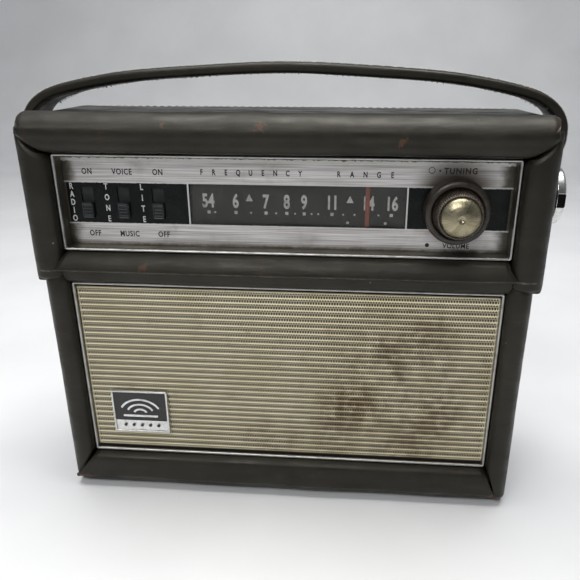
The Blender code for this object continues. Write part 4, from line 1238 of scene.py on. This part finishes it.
def build_inside(tin):
    """Better materials for the works, and the small parts on the circuit board."""
    fibre = Look("fibreboard")
    shade = fibre.mix(fibre.fade(fibre.noise(5.0, 5.0), 0.3, 0.7), (0.11, 0.075, 0.04), (0.22, 0.15, 0.08))
    shade = fibre.mix(fibre.fade(fibre.axis("Y"), 33.0, 34.2), shade, (0.022, 0.018, 0.014))
    fibre.finish(Base_Color=shade, Roughness=fibre.fade(fibre.noise(3.0), 0.3, 0.7, 0.8, 0.95),
                 Normal=fibre.bump(fibre.noise(0.8), 0.05))
    board = fibre.material
    zinc = metal_look("zinc_plate", (0.52, 0.52, 0.49), 0.34, 0.4)
    iron = metal_look("dull_iron", (0.30, 0.30, 0.30), 0.45, 0.5)
    brass = metal_look("brass_metal", (0.62, 0.46, 0.20), 0.28, 0.35)
    vane = metal_look("vane_metal", (0.70, 0.70, 0.70), 0.25, 0.2, brushed=(1.0, 1.0, 0.05))
    black = plain_look("tray_plastic", (0.014, 0.014, 0.015), 0.42, 0.3, 8.0, dust=0.12)
    sleeve = plain_look("capacitor_sleeve", (0.10, 0.13, 0.19), 0.4, 0.2)
    cell = Look("cell_jacket")
    across = cell.axis("X")
    shade = cell.mix(cell.fade(cell.noise(7.0, 4.0), 0.35, 0.7), (0.030, 0.050, 0.110),
                     (0.045, 0.070, 0.150))
    for middle in (-81.0, -18.5):
        shade = cell.mix(cell.between(across, middle + 13.0, middle + 24.0, 0.3), shade, (0.50, 0.40, 0.12))
        for end in (-30.3, 28.9):
            shade = cell.mix(cell.between(across, middle + end - 1.5, middle + end + 1.5, 0.2), shade,
                             (0.55, 0.55, 0.53))
    cell.finish(Base_Color=shade, Roughness=cell.fade(cell.noise(9.0), 0.3, 0.7, 0.25, 0.4))
    laminate = Look("board_laminate")
    traces = laminate.fade(laminate.cells(6.5, "DISTANCE_TO_EDGE"), 0.09, 0.11, 1.0, 0.0)
    weave = laminate.mix(laminate.fade(laminate.noise(4.0, 5.0), 0.3, 0.7), (0.20, 0.125, 0.045),
                         (0.28, 0.18, 0.07))
    laminate.finish(Base_Color=laminate.mix(laminate.math("MULTIPLY", traces, 0.7), weave,
                                            (0.44, 0.24, 0.10)),
                    Roughness=laminate.fade(laminate.noise(6.0), 0.3, 0.7, 0.35, 0.5))
    copper = metal_look("copper_winding", (0.68, 0.32, 0.14), 0.32, 0.2, brushed=(1.0, 0.03, 0.03))
    for names, look in ((("case_frame", "baffle_board"), board),
                        (("speaker_basket", "dial_chassis", "power_switch", "tone_switch", "light_switch",
                          "volume_control", "tuner_frame"), zinc),
                        (("speaker_magnet", "output_transformer"), iron),
                        (("if_can_1", "if_can_2", "if_can_3"), tin),
                        (("tuning_shaft", "volume_sleeve", "idler_left", "idler_right"), brass),
                        (("tuner_rotor",), vane), (("battery_tray", "drive_drum"), black),
                        (("filter_capacitor",), sleeve),
                        (("cell_1", "cell_2", "cell_3", "cell_4"), cell.material),
                        (("circuit_board",), laminate.material), (("antenna_coil",), copper),
                        (("ferrite_rod",), plain_look("ferrite_rod_grey", (0.030, 0.028, 0.028), 0.7)),
                        (("speaker_cone",),
                         plain_look("cone_paper", (0.030, 0.027, 0.024), 0.95, 0.3, 2.0, 0.08)),
                        (("dial_cord",), plain_look("cord_fabric", (0.22, 0.19, 0.12), 0.95, 0.3, 0.8)),
                        (("dial_lamp",), plain_look("lamp_glass", (0.55, 0.54, 0.48), 0.08, 0.1))):
        for name in names:
            paint(name, look)
    face = span("circuit_board")[1].y
    bodies = []
    leads = []
    for x, z, turn in ((42, 80, 0), (58, 80, 0), (76, 78, 0), (94, 92, 1), (102, 80, 1), (48, 66, 1),
                       (58, 66, 1),
                       (70, 66, 0), (86, 62, 0), (46, 48, 0), (62, 48, 0), (98, 52, 1), (54, 34, 1),
                       (64, 30, 0),
                       (48, 18, 0), (64, 16, 0), (36, 108, 0), (56, 108, 0), (78, 108, 0), (98, 108, 0)):
        aim = Vector((0, 0, 1)) if turn else Vector((1, 0, 0))
        at = Vector((x, face + 2.4, z))
        grain = [(0, -3.4), (1.1, -3.4), (1.45, -2.9), (1.45, -2.0), (1.2, -1.4), (1.2, 1.4), (1.45, 2.0),
                 (1.45, 2.9),
                 (1.1, 3.4), (0, 3.4)]
        bodies.append(lathe(grain, at, aim, 16))
        for end in (-1, 1):
            outer = at + aim * end * 5.2
            leads.append(tube([at + aim * end * 3.2, at + aim * end * 4.8, outer - Vector((0, 0.8, 0)),
                               outer - Vector((0, 2.5, 0))], 0.32, 8))
    piece("board_resistors", *join_parts(bodies),
          plain_look("resistor_body", (0.30, 0.16, 0.07), 0.5, 0.5, 2.0), "case",
          smooth=35.0)
    piece("board_leads", *join_parts(leads), tin, "case", smooth=60.0)
    cans = []
    for x, z in ((68, 90), (90, 78), (34, 70), (74, 52), (88, 46), (104, 66)):
        cans.append(lathe(softened([(0, 8.2), (3.4, 8.2), (3.6, 2.0), (4.3, 1.8), (4.3, 0.8), (0, 0.8)],
                                   0.4),
                          (x, face, z), (0, 1, 0), 28))
    piece("board_transistors", *join_parts(cans), tin, "case", smooth=35.0)
    discs = []
    for x, z in ((40, 94), (86, 98), (52, 58), (94, 70), (58, 22), (40, 22)):
        discs.append(lathe(softened([(0, 1.3), (2.9, 1.1), (3.4, 0.4), (3.4, -0.4), (2.9, -1.1), (0, -1.3)],
                                    0.4),
                           (x, face + 4.6, z), (0.25, 0, 1), 24))
    piece("board_discs", *join_parts(discs), plain_look("disc_capacitor", (0.33, 0.17, 0.06), 0.45), "case",
          smooth=35.0)
    blobs = []
    for step in range(9):
        blobs.append(lathe([(0, 1.1), (0.7, 0.9), (1.3, 0.3), (1.5, -0.1), (0, -0.1)],
                           (26.0 + 10.3 * step, face, 113.0),
                           (0, 1, 0), 14))
    piece("board_solder", *join_parts(blobs), tin, "case", smooth=60.0)
    red = [tube([(15.4, 30, 60), (17.6, 27, 74), (21, 22, 92), (24.5, 18.5, 101), (26.0, face, 104)], 0.75)]
    dull = [tube([(15.4, 30, 20), (18.5, 28, 30), (21, 21, 52), (23.4, 18.6, 62), (24.6, face, 66)], 0.75)]
    coil = [tube([(-28, 20, 178), (-20, 22, 166), (8, 24, 140), (24, 21, 120), (27.5, face, 110)], 0.6),
            tube([(-28, 24, 178), (-16, 26, 162), (12, 27, 134), (30, 22, 118), (33.5, face, 111)], 0.6)]
    for name, parts, color in (("wire_red", red, (0.30, 0.03, 0.02)),
                               ("wire_black", dull, (0.02, 0.02, 0.02)),
                               ("wire_cream", coil, (0.42, 0.38, 0.26))):
        piece(name, *join_parts(parts), plain_look(name + "_cover", color, 0.45, 0.2), "case", smooth=60.0)


# ---------------------------------------------------------------- stage, light and camera

def build_stage():
    look = Look("floor_paper")
    cloud = look.noise(160.0, 4.0, 0.5)
    color = look.mix(look.fade(cloud, 0.3, 0.7), (0.66, 0.665, 0.67), (0.72, 0.725, 0.735))
    look.finish(Base_Color=color, Roughness=0.45)
    reach = 7.0
    back = 1.5
    bend = 0.5
    profile = [Vector((-5.0, 0.0))]
    for step in range(17):
        angle = math.pi / 2 * step / 16
        profile.append(Vector((back - bend + bend * math.sin(angle), bend - bend * math.cos(angle))))
    profile.append(Vector((back, 2.6)))
    points = []
    faces = []
    for along in (-reach, reach):
        for point in profile:
            points.append((along, point.x, point.y))
    count = len(profile)
    for step in range(count - 1):
        faces.append((step, step + 1, count + step + 1, count + step))
    mesh = bpy.data.meshes.new("floor")
    mesh.from_pydata(points, [], faces)
    mesh.materials.append(look.material)
    mesh.shade_smooth()
    floor = bpy.data.objects.new("floor", mesh)
    bpy.context.scene.collection.objects.link(floor)


def area_light(name, place, aim, size, power, color=(1, 1, 1)):
    light = bpy.data.lights.new(name, "AREA")
    light.shape = "RECTANGLE"
    light.size = size[0]
    light.size_y = size[1]
    light.energy = power
    light.color = color
    obj = bpy.data.objects.new(name, light)
    obj.location = place
    obj.rotation_euler = (Vector(aim) - Vector(place)).to_track_quat("-Z", "Y").to_euler()
    bpy.context.scene.collection.objects.link(obj)
    return obj


def build_light():
    """A soft box overhead, and a room that is bright behind the object and dark in front of it."""
    world = bpy.data.worlds.new("studio")
    world.use_nodes = True
    tree = world.node_tree
    sky = tree.nodes["Background"]
    sky.inputs["Color"].default_value = (0.88, 0.92, 1.0, 1)
    aim = tree.nodes.new("ShaderNodeSeparateXYZ")
    tree.links.new(tree.nodes.new("ShaderNodeTexCoord").outputs["Generated"], aim.inputs[0])
    ramp = tree.nodes.new("ShaderNodeMapRange")
    ramp.interpolation_type = "SMOOTHSTEP"
    for key, value in (("From Min", -0.7), ("From Max", 0.5), ("To Min", 0.11), ("To Max", 0.54)):
        ramp.inputs[key].default_value = value
    tree.links.new(aim.outputs["Y"], ramp.inputs["Value"])
    tree.links.new(ramp.outputs[0], sky.inputs["Strength"])
    bpy.context.scene.world = world
    area_light("overhead", (0.0, 0.02, 1.15), (0, 0, 0.1), (0.9, 0.55), 14.0, (1.0, 0.985, 0.96))
    area_light("front_fill", (-0.3, -1.0, 1.1), (0, -0.4, 0.0), (0.8, 0.5), 10.0)
    area_light("back_wall", (0.0, 0.55, 1.5), (0, 1.5, 0.3), (1.6, 0.5), 4.5, (0.95, 0.975, 1.0))


def build_camera():
    """A camera a little right of the middle, looking down past the front edge of the top."""
    data = bpy.data.cameras.new("camera")
    data.sensor_width = 36.0
    data.lens = 36.62
    data.shift_x = -0.0431
    camera = bpy.data.objects.new("camera", data)
    yaw = math.radians(-4.18)
    pitch = math.radians(20.83)
    roll = math.radians(-0.16)
    forward = Vector((math.sin(yaw) * math.cos(pitch), math.cos(yaw) * math.cos(pitch), -math.sin(pitch)))
    right = Vector((math.cos(yaw), -math.sin(yaw), 0))
    down = forward.cross(right)
    level = right * math.cos(roll) + down * math.sin(roll)
    up = right * math.sin(roll) - down * math.cos(roll)
    turn = Matrix((level, up, -forward)).transposed()
    camera.matrix_world = Matrix.Translation((0.0354, -0.3019, 0.2239)) @ turn.to_4x4()
    bpy.context.scene.collection.objects.link(camera)
    bpy.context.scene.camera = camera


# ---------------------------------------------------------------- build

def build():
    build_camera()
    build_stage()
    build_light()
    bpy.context.scene.view_settings.view_transform = "Standard"
    scuffs = (((-8.0, -38, 198.0), 5.0), ((-52.0, -38, 199.0), 3.0), ((54.0, -38, 193.0), 4.0),
              ((119.0, -34, 199.0), 6.0), ((-121.0, -33, 199.0), 4.0), ((-67.0, -39, 132.0), 4.5),
              ((-114.0, -35, 6.0), 9.0), ((-78.0, -37, 7.0), 4.0), ((113.0, -35, 5.0), 7.0),
              ((10.0, -37, 6.0), 5.0))
    leather = leather_look("case_leather", scuffs)
    strap_leather = leather_look("strap_leather", (((112.0, -6, 214.0), 7.0), ((128.0, -6, 203.0), 7.0)),
                                 0.9)
    fibres = plain_look("raw_leather", (0.035, 0.028, 0.022), 0.9)
    thread = plain_look("linen_thread", (0.42, 0.40, 0.36), 0.85, 0.3, 1.2)
    chrome = metal_look("aged_chrome", (0.66, 0.66, 0.65), 0.16, 0.3, size=7.0)
    trim = metal_look("dull_trim", (0.40, 0.40, 0.385), 0.30, 0.55, tarnish=(0.075, 0.068, 0.05), size=5.0)
    # A darker copy of the trim metal for the wall of the dial's well: painted shade, with some tarnish.
    dull = metal_look("well_wall_tarnish_and_shade", (0.16, 0.15, 0.12), 0.45, 0.5)
    # Near-black, matte, almost unreflecting stuff: painted shade in the coin slots and in the gap under the
    # tuning cap.
    groove = Look("slot_and_gap_painted_shade")
    groove.finish(Base_Color=groove.mix(groove.noise(2.0), (0.006, 0.006, 0.006), (0.014, 0.013, 0.012)),
                  Roughness=1.0,
                  Specular_IOR_Level=0.03)
    dark = groove.material
    build_rails(leather)
    build_wraps(leather, thread)
    build_handle(strap_leather, fibres, thread, chrome, dark)
    build_trims(trim, dull)
    build_grille(grille_look(), plain_look("grille_cloth", (0.012, 0.010, 0.008), 0.95))
    build_badge(chrome, plain_look("black_enamel", (0.01, 0.01, 0.01), 0.2),
                metal_look("badge_silver", (0.72, 0.72, 0.71),
                                                                                    0.3, 0.45, size=3.0))
    paint("dial_panel", panel_look())
    build_back(leather, thread, chrome)
    build_inside(metal_look("tinned_metal", (0.70, 0.70, 0.68), 0.22, 0.3, size=5.0))
    printed = plain_look("dial_face", (0.013, 0.0125, 0.0115), 0.4, 0.25, 9.0, dust=0.2)
    marks = plain_look("dial_print", (0.42, 0.41, 0.385), 0.6, 0.25, 3.0)
    ink = plain_look("black_ink", (0.012, 0.011, 0.012), 0.6, 0.4, 0.9)
    white = plain_look("white_print", (0.50, 0.51, 0.50), 0.5, 0.25, 2.0)
    red = plain_look("pointer_plastic", (0.20, 0.060, 0.038), 0.45, 0.2, 3.0)
    button = plain_look("button_plastic", (0.020, 0.023, 0.024), 0.42, 0.3, 4.0, dust=0.05)
    shutter = plain_look("shutter_felt", (0.010, 0.011, 0.011), 0.8, 0.2)
    lens = Look("lens_plastic")
    haze = lens.fade(lens.noise(12.0, 5.0, 0.7), 0.4, 0.8, 0.04, 0.16)
    lens.finish(Base_Color=(0.16, 0.155, 0.14), Roughness=0.12, Alpha=haze)
    build_dial(printed, white, ink, marks, red, button, shutter, lens.material)
    brown = plain_look("knob_plastic", (0.022, 0.016, 0.011), 0.36, 0.4, 3.0, dust=0.16)
    worn = plain_look("knob_skirt_plastic", (0.060, 0.048, 0.035), 0.26, 0.5, 1.6, dust=0.5)
    build_knobs(brown, worn, gilt_look(), dark)


build()
